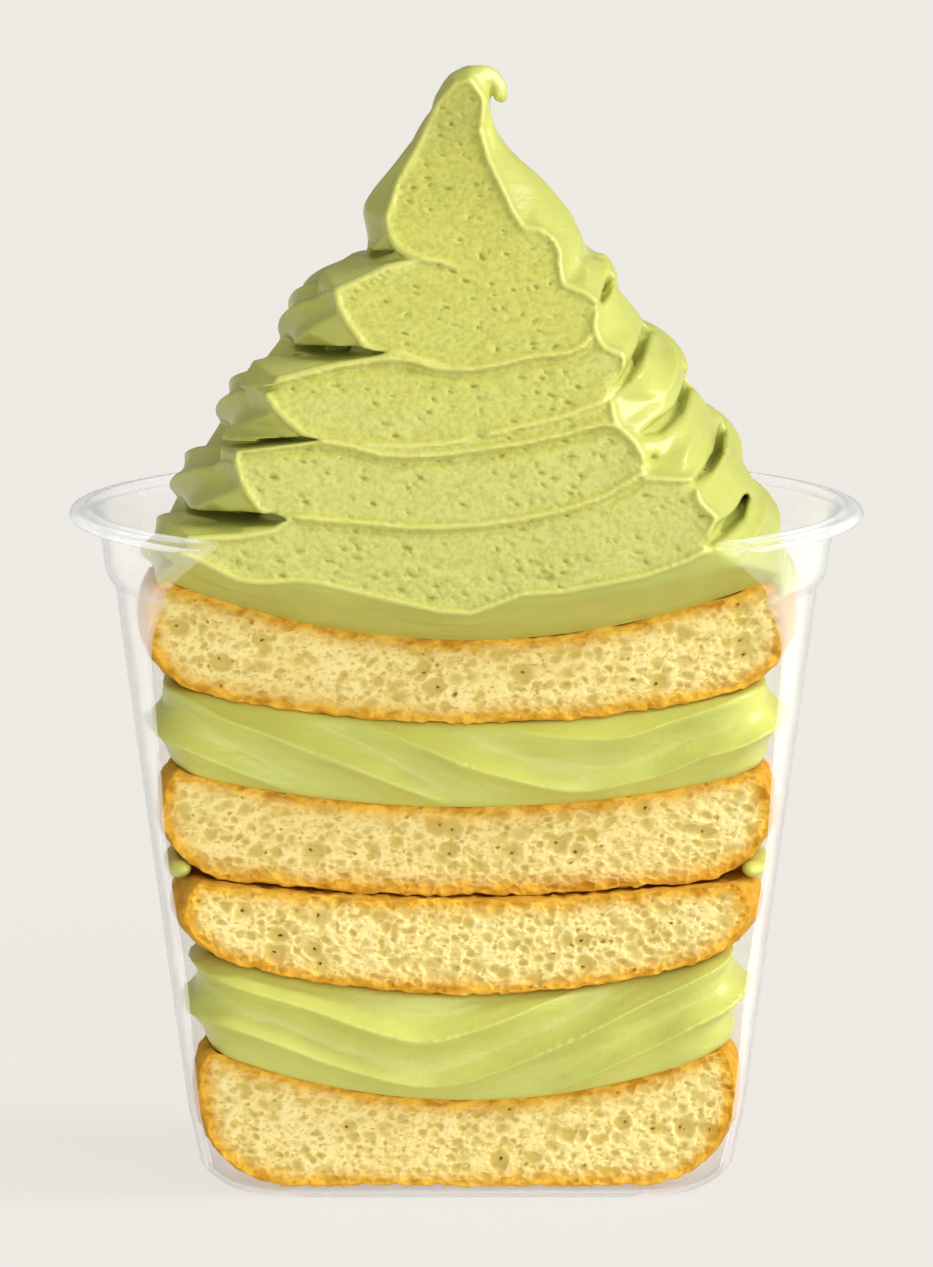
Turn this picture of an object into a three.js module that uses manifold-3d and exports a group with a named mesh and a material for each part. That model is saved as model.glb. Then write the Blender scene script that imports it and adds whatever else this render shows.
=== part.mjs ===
// A layered dessert cup, shown cut away at the front: a thin clear cup filled with four round
// sponge cakes and two piped layers of pistachio cream, under a tall soft-serve swirl.
// Millimetres, +Z up, the cup's axis on Z, its foot on Z = 0, the cut-away side facing -Y.
import * as THREE from 'three';
import { ParametricGeometry } from 'three/addons/geometries/ParametricGeometry.js';
import { mergeGeometries, mergeVertices } from 'three/addons/utils/BufferGeometryUtils.js';
import Module from 'manifold-3d';

const wasm = await Module();
wasm.setup();

// ---- Driving dimensions -------------------------------------------------------------------

// Cup: outer sizes of the moulded shell.
const RIM_RADIUS = 49;
const CUP_HEIGHT = 84.9;
const BASE_RADIUS = 23;
const FOOT_RADIUS = 33.2;
const FOOT_HEIGHT = 4.2;
const WALL_FOOT_RADIUS = 34.5;
const WALL_FOOT_HEIGHT = 10;
const STEP_RADIUS = 43.4;
const STEP_HEIGHT = 75.6;
const COLLAR_RADIUS = 44.6;
const COLLAR_HEIGHT = 77.6;
const MOUTH_RADIUS = 45.6;
const RIM_THICKNESS = 1;
const RIM_ROUND = 0.5;
const RIM_BEAD_RADIUS = 46.6;
const RIM_BEAD_HEIGHT = 0.3;
const RIM_BEAD_WIDTH = 0.6;
const NECK_DROP = 0.9;
const NECK_TUCK = 0.3;
const STEP_ROUND = 0.8;
const WALL = 0.8;
const FLOOR = 0.9;

// How far in front of the axis the cup is cut away, against height: [height, distance].
const CUP_CUT = [[0, 9.5], [12, 9.2], [28, 12.5], [43, 11.2], [56, 14.7], [70, 16.5], [77, 24], [86, 36]];

// Clearance between neighbouring pieces.
const GAP = 0.3;

// Sponge cakes, bottom to top. A face's height over the axis rises by sag times the radius squared.
// waist is the height of the widest place; the rounds are the widths of the rounded edges.
const SPONGES = [
  { radius: 34, cut: 8, waist: 13,
    low: 1.2, lowSag: 0, lowRound: 11, high: 11.7, highSag: 0.0062, highRound: 2.4 },
  { radius: 36.6, cut: 12, waist: 35.6,
    low: 25.2, lowSag: 0.0046, lowRound: 7, high: 37.3, highSag: 0.002, highRound: 2.2 },
  { radius: 38.3, cut: 9, waist: 47.6,
    low: 37.6, lowSag: 0.002, lowRound: 8.5, high: 48.5, highSag: 0.0035, highRound: 2.4 },
  { radius: 40.6, cut: 11, waist: 71,
    low: 59, lowSag: 0.0035, lowRound: 6.5, high: 69.15, highSag: 0.0054, highRound: 2.4 },
];

// Cream layers: cut is how far the bulging front stands before the axis. The ridges left by the
// star nozzle hang across the layer in a garland: lowest at dip, with the slopes given to its
// left and right.
const FILLINGS = [
  { radius: 35.7, cut: 13.8, edge: 4.6,
    dip: -4, slopes: [0.36, 0.5], sill: 6, ridgeHeight: 14.3, ridgeStep: 5.9 },
  { radius: 40, cut: 14.1, edge: 4.8,
    dip: 14, slopes: [0.42, 0.42], sill: 8, ridgeHeight: 51.3, ridgeStep: 6.2 },
];
const FILLING_CORNER = 7;
const FILLING_FULLNESS = 0.85;
const RIDGE_RELIEF = 1.5;

// How narrow the crests left by a star nozzle are; 1 is a plain sine.
const CREST_SHARPNESS = 1.3;

// The line of cream pressed out between the two middle sponges.
const SEAM = { radius: 36.2, height: 40.8, width: 1.4, thickness: 1, cut: 10 };

// Soft-serve swirl: a star-nozzle rope wound up in a cone. Turns count from the left side of the
// lowest whole coil; the rope's ribs run round it as it is laid.
const ROPE_RADIUS = 6.2;
const ROPE_FLATTENING = 0.88;
const ROPE_RIBS = 6;
const ROPE_FLUTE = 0.22;
const ROPE_TWIST = 2;
const COIL_HEIGHT = 79.3;
const COIL_PITCH = 7.65;
const COIL_PITCH_GAIN = 0.55;
const COIL_DROOP = 2.5;
const FIRST_TURN = -2;
const LAST_TURN = 4.35;
const ENDING_TURNS = 0.5;
const CORE_RADIUS = 4;
const CONE_RADIUS = 41.2;
const CONE_FOOT = 76;
const CONE_REACH = 57;
const CONE_POWER = 1.39;
const CLEFT_DEPTH = 5;
// The swirl's lower edge rounds in over the top sponge's shoulder from this height, over this drop.
const SKIRT_HEIGHT = 77;
const SKIRT_DROP = 8;
const SKIRT_SQUARENESS = 4;

// The peak drawn off the swirl: its spine and the radius along it.
const PEAK = [
  { at: [1.2, 0, 111], radius: 16.2 },
  { at: [1.2, 0, 117], radius: 15 },
  { at: [0, 0, 121.5], radius: 12.9 },
  { at: [-0.6, 0, 126], radius: 9.3 },
  { at: [-1.3, 0, 130], radius: 5.6 },
  { at: [-0.8, 0, 134], radius: 3.4 },
  { at: [0.6, 0, 136.8], radius: 2.1 },
  { at: [2.6, 0, 138.1], radius: 1.2 },
  { at: [4.1, -0.2, 137.3], radius: 0.95 },
  { at: [4.3, -0.3, 135.7], radius: 0.95 },
];
const PEAK_FLUTE = 0.14;
const PEAK_TWIST = 2.2;

// The sliced front of the swirl: how deep it lies in front of the axis at its foot, the height
// over which it runs back to the tip, and how deep it still lies there. Between two heights near
// the peak it turns a little to the left.
const FACE_DEPTH = 25;
const FACE_FOOT = 70;
const FACE_RISE = 64;
const FACE_POWER = 2.05;
const FACE_TIP_DEPTH = 2.3;
const FACE_TURN = 0.18;
const FACE_TURN_HEIGHTS = [118, 128];
// Lips where one coil overhangs the next across that face: lowest at dip, height there, and how
// fast they rise to the left and right.
const LIPS = [
  { dip: 1, height: 104.1, rise: [0.013, 0.0194] },
  { dip: -3, height: 93.7, rise: [0.008, 0.0175] },
  { dip: -8, height: 84.4, rise: [0.008, 0.0102] },
];
const LIP_RELIEF = 0.9;
const LIP_FADE = 4;
// Slope of the swirl's underside in front of the top sponge.
const OVERHANG_SLOPE = 0.47;

// Facets.
const CUP_SIDES = 54;
const SPONGE_SIDES = 36;
const FILLING_SIDES = 52;
const STEPS_PER_RIB = 4;
const STRANDS_PER_COIL = 8;
const STRAND_LEAD = 8;
const ROPE_STEPS = 40;
const PEAK_STEPS = 27;

// Cutting blocks reach this far past whatever they cut.
const BEYOND = 10;

// ---- Shared helpers -----------------------------------------------------------------------

// Turns a closed geometry into a solid. Points closer than the weld become one.
function solid(geometry, weld = 1e-4) {
  const bare = geometry.clone();
  bare.deleteAttribute('normal');
  bare.deleteAttribute('uv');
  const welded = mergeVertices(bare, weld);
  const index = welded.index.array;
  const faces = [];
  for (let i = 0; i < index.length; i += 3) {
    const [a, b, c] = index.slice(i, i + 3);
    if (a !== b && b !== c && c !== a) faces.push(a, b, c);
  }
  const vertProperties = welded.attributes.position.array;
  return new wasm.Manifold(new wasm.Mesh({ numProp: 3, vertProperties, triVerts: new Uint32Array(faces) }));
}

function geometryOf(shape) {
  const { vertProperties, triVerts } = shape.getMesh();
  const geometry = new THREE.BufferGeometry();
  geometry.setAttribute('position', new THREE.BufferAttribute(vertProperties, 3));
  geometry.setIndex(new THREE.BufferAttribute(triVerts, 1));
  return geometry;
}

// Keeps a solid's largest shell: small voids shut in where its parts meet are filled, and scraps dropped.
function oneShell(shape) {
  const shells = solid(geometryOf(shape), 1e-3).decompose();
  return shells.reduce((most, shell) => (shell.volume() > most.volume() ? shell : most));
}

// Turns a solid into a named, coloured mesh.
function piece(name, shape, material) {
  const geometry = geometryOf(shape);
  geometry.computeVertexNormals();
  const mesh = new THREE.Mesh(geometry, material);
  mesh.name = name;
  return mesh;
}

// A closed profile of [radius, height] pairs turned round the Z axis.
function turned(profile, sides) {
  const points = profile.map(([r, z]) => new THREE.Vector2(r, z));
  return solid(new THREE.LatheGeometry(points, sides).rotateX(Math.PI / 2));
}

// A closed skin: place(i, j) gives point i of row j. The first and last rows each close in one point.
function skin(around, rows, place) {
  const put = (u, v, target) => {
    const i = Math.round(u * around) % around;
    const j = Math.round(v * rows);
    target.copy(place(i, j));
  };
  return solid(new ParametricGeometry(put, around, rows));
}

// An outline of [y, z] pairs drawn out along X, across the whole part.
function acrossX(outline) {
  const shape = new THREE.Shape(outline.map(([y, z]) => new THREE.Vector2(y, z)));
  const width = 2 * (RIM_RADIUS + BEYOND);
  const geometry = new THREE.ExtrudeGeometry(shape, { depth: width, bevelEnabled: false });
  // The shape's x and y become Y and Z, and its depth X.
  const turn = new THREE.Matrix4().makeBasis(
    new THREE.Vector3(0, 1, 0), new THREE.Vector3(0, 0, 1), new THREE.Vector3(1, 0, 0));
  return solid(geometry.applyMatrix4(turn).translate(-width / 2, 0, 0));
}

// Everything in front of the plane y = -distance.
function inFrontOf(distance) {
  const far = RIM_RADIUS + BEYOND;
  const above = CUP_HEIGHT + BEYOND;
  return acrossX([[-far, -BEYOND], [-distance, -BEYOND], [-distance, above], [-far, above]]);
}

function degrees(angle) {
  return THREE.MathUtils.degToRad(angle);
}

// ---- Cup ----------------------------------------------------------------------------------

function cupProfile() {
  const footSteps = 5;
  const baseInside = BASE_RADIUS - 1;
  const footInside = FOOT_RADIUS - WALL;
  const outside = [[0, 0], [BASE_RADIUS, 0]];
  const inside = [[0, FLOOR], [baseInside, FLOOR]];
  for (let i = 1; i <= footSteps; i += 1) {
    const turn = degrees(90 * i / footSteps);
    const out = Math.sin(turn);
    const up = 1 - Math.cos(turn);
    outside.push([BASE_RADIUS + (FOOT_RADIUS - BASE_RADIUS) * out, FOOT_HEIGHT * up]);
    inside.push([baseInside + (footInside - baseInside) * out, FLOOR + (FOOT_HEIGHT + GAP - FLOOR) * up]);
  }
  const rimUnder = CUP_HEIGHT - RIM_THICKNESS;
  const neck = MOUTH_RADIUS - NECK_TUCK;
  outside.push(
    [WALL_FOOT_RADIUS, WALL_FOOT_HEIGHT],
    [STEP_RADIUS, STEP_HEIGHT],
    [STEP_RADIUS + STEP_ROUND, STEP_HEIGHT + STEP_ROUND],
    [COLLAR_RADIUS, COLLAR_HEIGHT],
    [neck, rimUnder - NECK_DROP],
    [neck + NECK_DROP, rimUnder],
    [RIM_RADIUS - RIM_ROUND, rimUnder - RIM_ROUND],
    [RIM_RADIUS, rimUnder],
    [RIM_RADIUS, CUP_HEIGHT - RIM_ROUND],
    [RIM_RADIUS - RIM_ROUND, CUP_HEIGHT],
    [RIM_BEAD_RADIUS + RIM_BEAD_WIDTH, CUP_HEIGHT],
    [RIM_BEAD_RADIUS, CUP_HEIGHT + RIM_BEAD_HEIGHT],
    [MOUTH_RADIUS, CUP_HEIGHT],
  );
  inside.push(
    [WALL_FOOT_RADIUS - WALL, WALL_FOOT_HEIGHT],
    [STEP_RADIUS - WALL, STEP_HEIGHT + GAP],
    [STEP_RADIUS + STEP_ROUND - WALL, STEP_HEIGHT + STEP_ROUND + GAP],
    [COLLAR_RADIUS - WALL, COLLAR_HEIGHT + GAP],
    [neck - WALL, rimUnder],
  );
  return outside.concat(inside.reverse());
}

function cup(material) {
  const far = RIM_RADIUS + BEYOND;
  const above = CUP_HEIGHT + BEYOND;
  const front = CUP_CUT.map(([height, distance]) => [-distance, height]);
  const [footCut] = front[0];
  const [rimCut] = front.at(-1);
  const outline = [[-far, -BEYOND], [footCut, -BEYOND], ...front, [rimCut - BEYOND, above], [-far, above]];
  return piece('cup', turned(cupProfile(), CUP_SIDES).subtract(acrossX(outline)), material);
}

// ---- Sponge cakes -------------------------------------------------------------------------

// How far a slab's edge has rounded off at a radius: 1 on the flat, 0 at the widest place.
function edgeRound(r, radius, width) {
  const into = Math.max(0, (r - radius + width) / width);
  return Math.sqrt(Math.max(0, 1 - into * into));
}

function edgeRadii(radius, width, steps) {
  const radii = [0.36, 0.7].map((share) => share * (radius - width));
  for (let i = 0; i < steps; i += 1) radii.push(radius - width + width * Math.sin(degrees(90 * i / steps)));
  return radii;
}

// A sponge's outline; grown makes it larger all round, for cutting its neighbours clear of it.
function spongeProfile(cake, grown = 0) {
  const radius = cake.radius + grown;
  const under = (r) => cake.low + cake.lowSag * r * r - grown;
  const over = (r) => cake.high + cake.highSag * r * r + grown;
  const profile = [[0, under(0)]];
  for (const r of edgeRadii(radius, cake.lowRound, 4)) {
    profile.push([r, cake.waist - (cake.waist - under(r)) * edgeRound(r, radius, cake.lowRound)]);
  }
  profile.push([radius, cake.waist]);
  for (const r of edgeRadii(radius, cake.highRound, 3).reverse()) {
    profile.push([r, cake.waist + (over(r) - cake.waist) * edgeRound(r, radius, cake.highRound)]);
  }
  profile.push([0, over(0)]);
  return profile;
}

function spongeSolid(cake, grown = 0) {
  return turned(spongeProfile(cake, grown), SPONGE_SIDES).subtract(inFrontOf(cake.cut + grown));
}

// ---- Cream layers -------------------------------------------------------------------------

// Height of a star-nozzle ridge: a soft crest at every whole phase, with a hollow flute between.
function flute(phase) {
  return 1 - Math.abs(Math.sin(Math.PI * phase)) ** CREST_SHARPNESS;
}

// The layer's outline from above: a circle whose front is pressed flat, with rounded corners.
function fillingOutline({ radius, cut }) {
  const corner = Math.asin(cut / radius);
  const turn = corner - FILLING_CORNER / radius;
  const edge = radius * Math.cos(corner);
  const path = new THREE.Path();
  path.absarc(0, 0, radius, -turn, Math.PI + turn);
  path.quadraticCurveTo(-edge, -cut, -edge + FILLING_CORNER, -cut);
  path.lineTo(edge - FILLING_CORNER, -cut);
  path.quadraticCurveTo(edge, -cut, radius * Math.cos(turn), -radius * Math.sin(turn));
  return path;
}

function fillingSolid(layer, below, above) {
  const path = fillingOutline(layer);
  const lengths = Array.from({ length: FILLING_SIDES }, (_, i) => i / FILLING_SIDES);
  const outline = lengths.map((u) => path.getPointAt(u));
  const outward = lengths.map((u) => path.getTangentAt(u)).map(({ x, y }) => new THREE.Vector2(y, -x));
  const garland = (x) => {
    const slope = layer.slopes[x < layer.dip ? 0 : 1];
    return slope * (Math.hypot(x - layer.dip, layer.sill) - layer.sill);
  };
  const under = (r2) => below.high + below.highSag * r2 + GAP;
  const over = (r2) => above.low + above.lowSag * r2 - 1.3 * GAP;
  // Rows from the middle of the underside, round the bulging edge, to the middle of the top:
  // how far out each lies, and how far round the edge.
  const inner = [0, 0.36, 0.7].map((spread) => [spread, -90]);
  const edge = [-90, -58, -32, -10, 10, 32, 58, 90].map((turn) => [1, turn]);
  const rows = [...inner, ...edge, ...inner.map(([spread]) => [spread, 90]).reverse()];
  const place = (i, j) => {
    const [spread, turn] = rows[j];
    const out = Math.cos(degrees(turn));
    const at = outline[i].clone().addScaledVector(outward[i], -layer.edge * (1 - out));
    at.multiplyScalar(spread);
    const low = under(at.lengthSq());
    const high = over(at.lengthSq());
    const share = (1 + Math.sign(turn) * Math.abs(Math.sin(degrees(turn))) ** FILLING_FULLNESS) / 2;
    const height = THREE.MathUtils.lerp(low, high, share);
    const crest = flute((height - garland(at.x) - layer.ridgeHeight) / layer.ridgeStep);
    at.addScaledVector(outward[i], RIDGE_RELIEF * (crest - 1) * out);
    return new THREE.Vector3(at.x, at.y, height);
  };
  return skin(FILLING_SIDES, rows.length - 1, place);
}

// The cream pressed out between two sponges, lying in the groove between their rounded edges.
function seamSolid() {
  const profile = [];
  for (let i = 0; i <= 6; i += 1) {
    const turn = degrees(60 * i);
    profile.push([SEAM.radius + SEAM.width * Math.cos(turn), SEAM.height + SEAM.thickness * Math.sin(turn)]);
  }
  return turned(profile, SPONGE_SIDES).subtract(inFrontOf(SEAM.cut));
}

// ---- Soft-serve swirl ---------------------------------------------------------------------

function coneRadius(height) {
  const up = Math.max(0, (height - CONE_FOOT) / CONE_REACH);
  return CONE_RADIUS * (1 - Math.min(up, 1) ** CONE_POWER);
}

function skirtRadius(height) {
  const down = THREE.MathUtils.clamp((SKIRT_HEIGHT - height) / SKIRT_DROP, 0, 0.99);
  return CONE_RADIUS * (1 - down * down) ** (1 / SKIRT_SQUARENESS);
}

function coilHeight(turns) {
  const droop = COIL_DROOP * Math.max(0, Math.sin(2 * Math.PI * turns)) ** 2;
  return COIL_HEIGHT + COIL_PITCH * turns + COIL_PITCH_GAIN * turns * turns - droop;
}

// How far from the axis one winding of the rope reaches at a height: its star-shaped section,
// turned by the twist, is walked from bottom to top, and the outermost crossing counts.
function windingReach(turns, height) {
  const middle = coilHeight(turns);
  const radius = coneRadius(middle) - ROPE_RADIUS;
  let reach = 0;
  let before = null;
  for (let i = 0; i <= ROPE_STEPS; i += 1) {
    const around = i / ROPE_STEPS - 0.5;
    const turn = Math.PI * around;
    const hollow = 1 - flute(ROPE_RIBS * (around / 2 - ROPE_TWIST * turns));
    const ribbed = ROPE_RADIUS * (1 - ROPE_FLUTE * hollow);
    const rise = ribbed * ROPE_FLATTENING * Math.sin(turn);
    const at = { r: radius + ribbed * Math.cos(turn), z: middle + rise };
    if (before && (at.z - height) * (before.z - height) <= 0 && at.z !== before.z) {
      const share = (height - before.z) / (at.z - before.z);
      reach = Math.max(reach, THREE.MathUtils.lerp(before.r, at.r, share));
    }
    before = at;
  }
  return reach;
}

function swirlReach(turns, height) {
  let reach = coneRadius(height) - CLEFT_DEPTH;
  for (const winding of [turns - 1, turns, turns + 1, turns + 2]) {
    const ending = THREE.MathUtils.smoothstep(LAST_TURN - winding, 0, ENDING_TURNS);
    reach = Math.max(reach, windingReach(winding, height) * ending);
  }
  return Math.max(CORE_RADIUS, Math.min(reach, skirtRadius(height)));
}

// The wound rope as one closed skin. Strands run along the coils, a fixed number to each coil, so
// that clefts fall on them, and the steps along a strand are set to meet the rope's ribs.
function coilsSolid() {
  const stepsPerTurn = ROPE_RIBS * ROPE_TWIST * STEPS_PER_RIB;
  const nextCoil = stepsPerTurn + STRAND_LEAD;
  const steps = Math.round((LAST_TURN - 1 - FIRST_TURN) * stepsPerTurn);
  const place = (step, strand) => {
    const wrapped = strand === STRANDS_PER_COIL;
    const share = wrapped ? 0 : strand / STRANDS_PER_COIL;
    const turns = FIRST_TURN + ((wrapped ? step + nextCoil : step) + share * STRAND_LEAD) / stepsPerTurn;
    const height = THREE.MathUtils.lerp(coilHeight(turns), coilHeight(turns + 1), share);
    const reach = swirlReach(turns, height);
    const angle = Math.PI + 2 * Math.PI * turns;
    return new THREE.Vector3(reach * Math.cos(angle), reach * Math.sin(angle), height);
  };
  const put = (u, v, target) => target.copy(place(Math.round(u * steps), Math.round(v * STRANDS_PER_COIL)));
  const side = new ParametricGeometry(put, steps, STRANDS_PER_COIL);
  // Each end of the band is closed by a fan from a point on the axis.
  const loop = (first) => {
    const points = [];
    for (let step = 0; step < nextCoil; step += 1) points.push(place(first + step, 0));
    for (let strand = STRANDS_PER_COIL; strand > 0; strand -= 1) points.push(place(first, strand));
    return points;
  };
  const fan = (points, height) => {
    const middle = new THREE.Vector3(0, 0, height);
    const spread = (u, v, target) => {
      const edge = points[Math.round(u * points.length) % points.length];
      target.copy(v < 0.5 ? middle : edge);
    };
    return new ParametricGeometry(spread, points.length, 1);
  };
  const underFan = fan(loop(0), coilHeight(FIRST_TURN + 0.2));
  const topFan = fan(loop(steps).reverse(), coilHeight(LAST_TURN - 1));
  return solid(mergeGeometries([side, underFan, topFan]));
}

function peakSolid() {
  const spine = new THREE.CatmullRomCurve3(PEAK.map(({ at }) => new THREE.Vector3(...at)));
  const points = 2 * ROPE_RIBS;
  const radiusAt = (share) => {
    const at = Math.min(share * (PEAK.length - 1), PEAK.length - 1.001);
    const from = Math.floor(at);
    return THREE.MathUtils.lerp(PEAK[from].radius, PEAK[from + 1].radius, at - from);
  };
  const place = (i, j) => {
    const share = THREE.MathUtils.clamp((j - 1) / PEAK_STEPS, 0, 1);
    const middle = spine.getPoint(share);
    const along = spine.getTangent(share);
    const across = new THREE.Vector3(0, 1, 0);
    const side = new THREE.Vector3().crossVectors(across, along).normalize();
    const closed = j === 0 || j === PEAK_STEPS + 2;
    const ridge = 1 - PEAK_FLUTE * (i % 2) * (1 - share);
    const radius = closed ? 0 : radiusAt(share) * ridge;
    const turn = 2 * Math.PI * i / points + PEAK_TWIST * share;
    return middle.clone()
      .addScaledVector(side, radius * Math.cos(turn))
      .addScaledVector(across, radius * Math.sin(turn));
  };
  return skin(points, PEAK_STEPS + 2, place);
}

function faceDepth(x, z) {
  const up = THREE.MathUtils.clamp((z - FACE_FOOT) / FACE_RISE, 0, 1);
  let depth = Math.max(FACE_DEPTH * (1 - up ** FACE_POWER), FACE_TIP_DEPTH);
  depth += FACE_TURN * x * THREE.MathUtils.smoothstep(z, ...FACE_TURN_HEIGHTS);
  for (const lip of LIPS) {
    const offset = x - lip.dip;
    const above = z - lip.height - lip.rise[offset < 0 ? 0 : 1] * offset * offset;
    if (above > 0) depth += LIP_RELIEF * Math.exp(-above / LIP_FADE);
  }
  return depth;
}

// A block whose face towards the swirl follows a surface.
function shapedBlock(size, middle, segments, shape) {
  const geometry = new THREE.BoxGeometry(...size, ...segments).translate(...middle);
  const position = geometry.attributes.position;
  const at = new THREE.Vector3();
  for (let i = 0; i < position.count; i += 1) {
    at.fromBufferAttribute(position, i);
    shape(at);
    position.setXYZ(i, at.x, at.y, at.z);
  }
  return solid(geometry);
}

function faceCutter() {
  const back = -20;
  const size = [90, 60, 76];
  const middleHeight = FACE_FOOT - 4 + size[2] / 2;
  return shapedBlock(size, [0, back - size[1] / 2, middleHeight], [24, 1, 36], (at) => {
    if (at.y > back - 1) at.y = -faceDepth(at.x, at.z);
  });
}

function undersideCutter(top) {
  const front = top.cut + GAP;
  const middleHeight = 60;
  const size = [96, 60, 20];
  return shapedBlock(size, [0, -front - size[1] / 2, middleHeight], [12, 3, 1], (at) => {
    const ahead = -at.y - front;
    const crown = top.high + GAP + top.highSag * (at.x * at.x + front * front);
    if (at.z > middleHeight) at.z = crown + OVERHANG_SLOPE * ahead;
  });
}

function swirlSolid(top) {
  const whole = coilsSolid().add(peakSolid());
  const seated = whole.subtract(spongeSolid(top, GAP)).subtract(undersideCutter(top));
  return oneShell(seated.subtract(faceCutter()));
}

// ---- Materials ----------------------------------------------------------------------------

function clearPlastic() {
  const clear = { transparent: true, opacity: 0.25 };
  return new THREE.MeshStandardMaterial({ color: 0xf2f4f7, roughness: 0.08, metalness: 0, ...clear });
}

function spongeCrumb() {
  return new THREE.MeshStandardMaterial({ color: 0xeed282, roughness: 0.9, metalness: 0 });
}

function pistachioCream() {
  return new THREE.MeshStandardMaterial({ color: 0xcccb6a, roughness: 0.35, metalness: 0 });
}

function softServe() {
  return new THREE.MeshStandardMaterial({ color: 0xd2d16e, roughness: 0.42, metalness: 0 });
}

// ---- The whole dessert --------------------------------------------------------------------

const dessert = new THREE.Group();
dessert.add(cup(clearPlastic()));
SPONGES.forEach((cake, i) => dessert.add(piece(`sponge_${i + 1}`, spongeSolid(cake), spongeCrumb())));
const [low, middleLow, middleHigh, top] = SPONGES;
dessert.add(piece('filling_1', fillingSolid(FILLINGS[0], low, middleLow), pistachioCream()));
dessert.add(piece('filling_2', fillingSolid(FILLINGS[1], middleHigh, top), pistachioCream()));
dessert.add(piece('cream_seam', seamSolid(), pistachioCream()));
dessert.add(piece('swirl', swirlSolid(top), softServe()));

export default dessert;
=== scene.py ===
import math

import bpy
import numpy as np
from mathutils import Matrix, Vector


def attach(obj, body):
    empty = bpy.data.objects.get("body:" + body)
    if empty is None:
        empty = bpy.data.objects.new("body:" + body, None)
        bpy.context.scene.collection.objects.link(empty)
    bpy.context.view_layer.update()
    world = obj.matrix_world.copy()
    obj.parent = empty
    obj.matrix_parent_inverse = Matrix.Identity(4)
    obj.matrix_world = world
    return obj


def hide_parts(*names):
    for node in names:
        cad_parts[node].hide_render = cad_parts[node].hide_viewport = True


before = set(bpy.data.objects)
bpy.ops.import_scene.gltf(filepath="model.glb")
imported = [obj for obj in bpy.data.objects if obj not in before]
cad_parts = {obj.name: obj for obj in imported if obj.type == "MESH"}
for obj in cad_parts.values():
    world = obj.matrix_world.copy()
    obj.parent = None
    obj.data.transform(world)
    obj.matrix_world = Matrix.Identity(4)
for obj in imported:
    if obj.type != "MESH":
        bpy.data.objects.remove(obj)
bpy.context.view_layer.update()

# ---- Clear cup ----------------------------------------------------------------------------
# A thin cup of clear plastic, formed in one piece over a mould: a flat base with a rounded foot,
# a tapered wall, a step up to the collar and a flared rim with a bead inside it. Its front is
# cut away from the foot to the rim.

MM = 0.001
GAP = 0.3

RIM_RADIUS = 49
CUP_HEIGHT = 84.9
BASE_RADIUS = 23
FOOT_RADIUS = 33.2
FOOT_HEIGHT = 4.2
WALL_FOOT_RADIUS = 34.5
WALL_FOOT_HEIGHT = 10
STEP_RADIUS = 43.4
STEP_HEIGHT = 75.6
COLLAR_RADIUS = 44.6
COLLAR_HEIGHT = 77.6
MOUTH_RADIUS = 45.6
RIM_THICKNESS = 1
RIM_ROUND = 0.5
RIM_BEAD_RADIUS = 46.6
RIM_BEAD_HEIGHT = 0.3
RIM_BEAD_WIDTH = 0.6
NECK_DROP = 0.9
NECK_TUCK = 0.3
STEP_ROUND = 0.8
WALL = 0.45
FLOOR = 0.55

# How far the plastic reaches in front of the axis, as (height, distance).
CUP_CUT = [(0, 9.5), (12, 9.2), (28, 12.5), (43, 11.2), (56, 14.7), (70, 16.5), (77, 24), (86, 36)]
CUP_SIDES = 288
CORNER_REACH = 0.5
CORNER_STEPS = 4
FOOT_STEPS = 19
CUT_EDGE_REACH = 5
BEYOND = 10


def rounded(line, reach):
    """Rounds an open line's corners, each over at most that reach, with its ends kept."""
    line = [np.array(point, float) for point in line]
    out = [line[0]]
    for before, corner, after in zip(line, line[1:], line[2:]):
        into = before - corner
        onward = after - corner
        start = corner + into * min(reach / np.linalg.norm(into), 0.45)
        end = corner + onward * min(reach / np.linalg.norm(onward), 0.45)
        for t in np.linspace(0, 1, CORNER_STEPS):
            out.append((1 - t) ** 2 * start + 2 * t * (1 - t) * corner + t * t * end)
    out.append(line[-1])
    return np.array(out)


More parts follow.
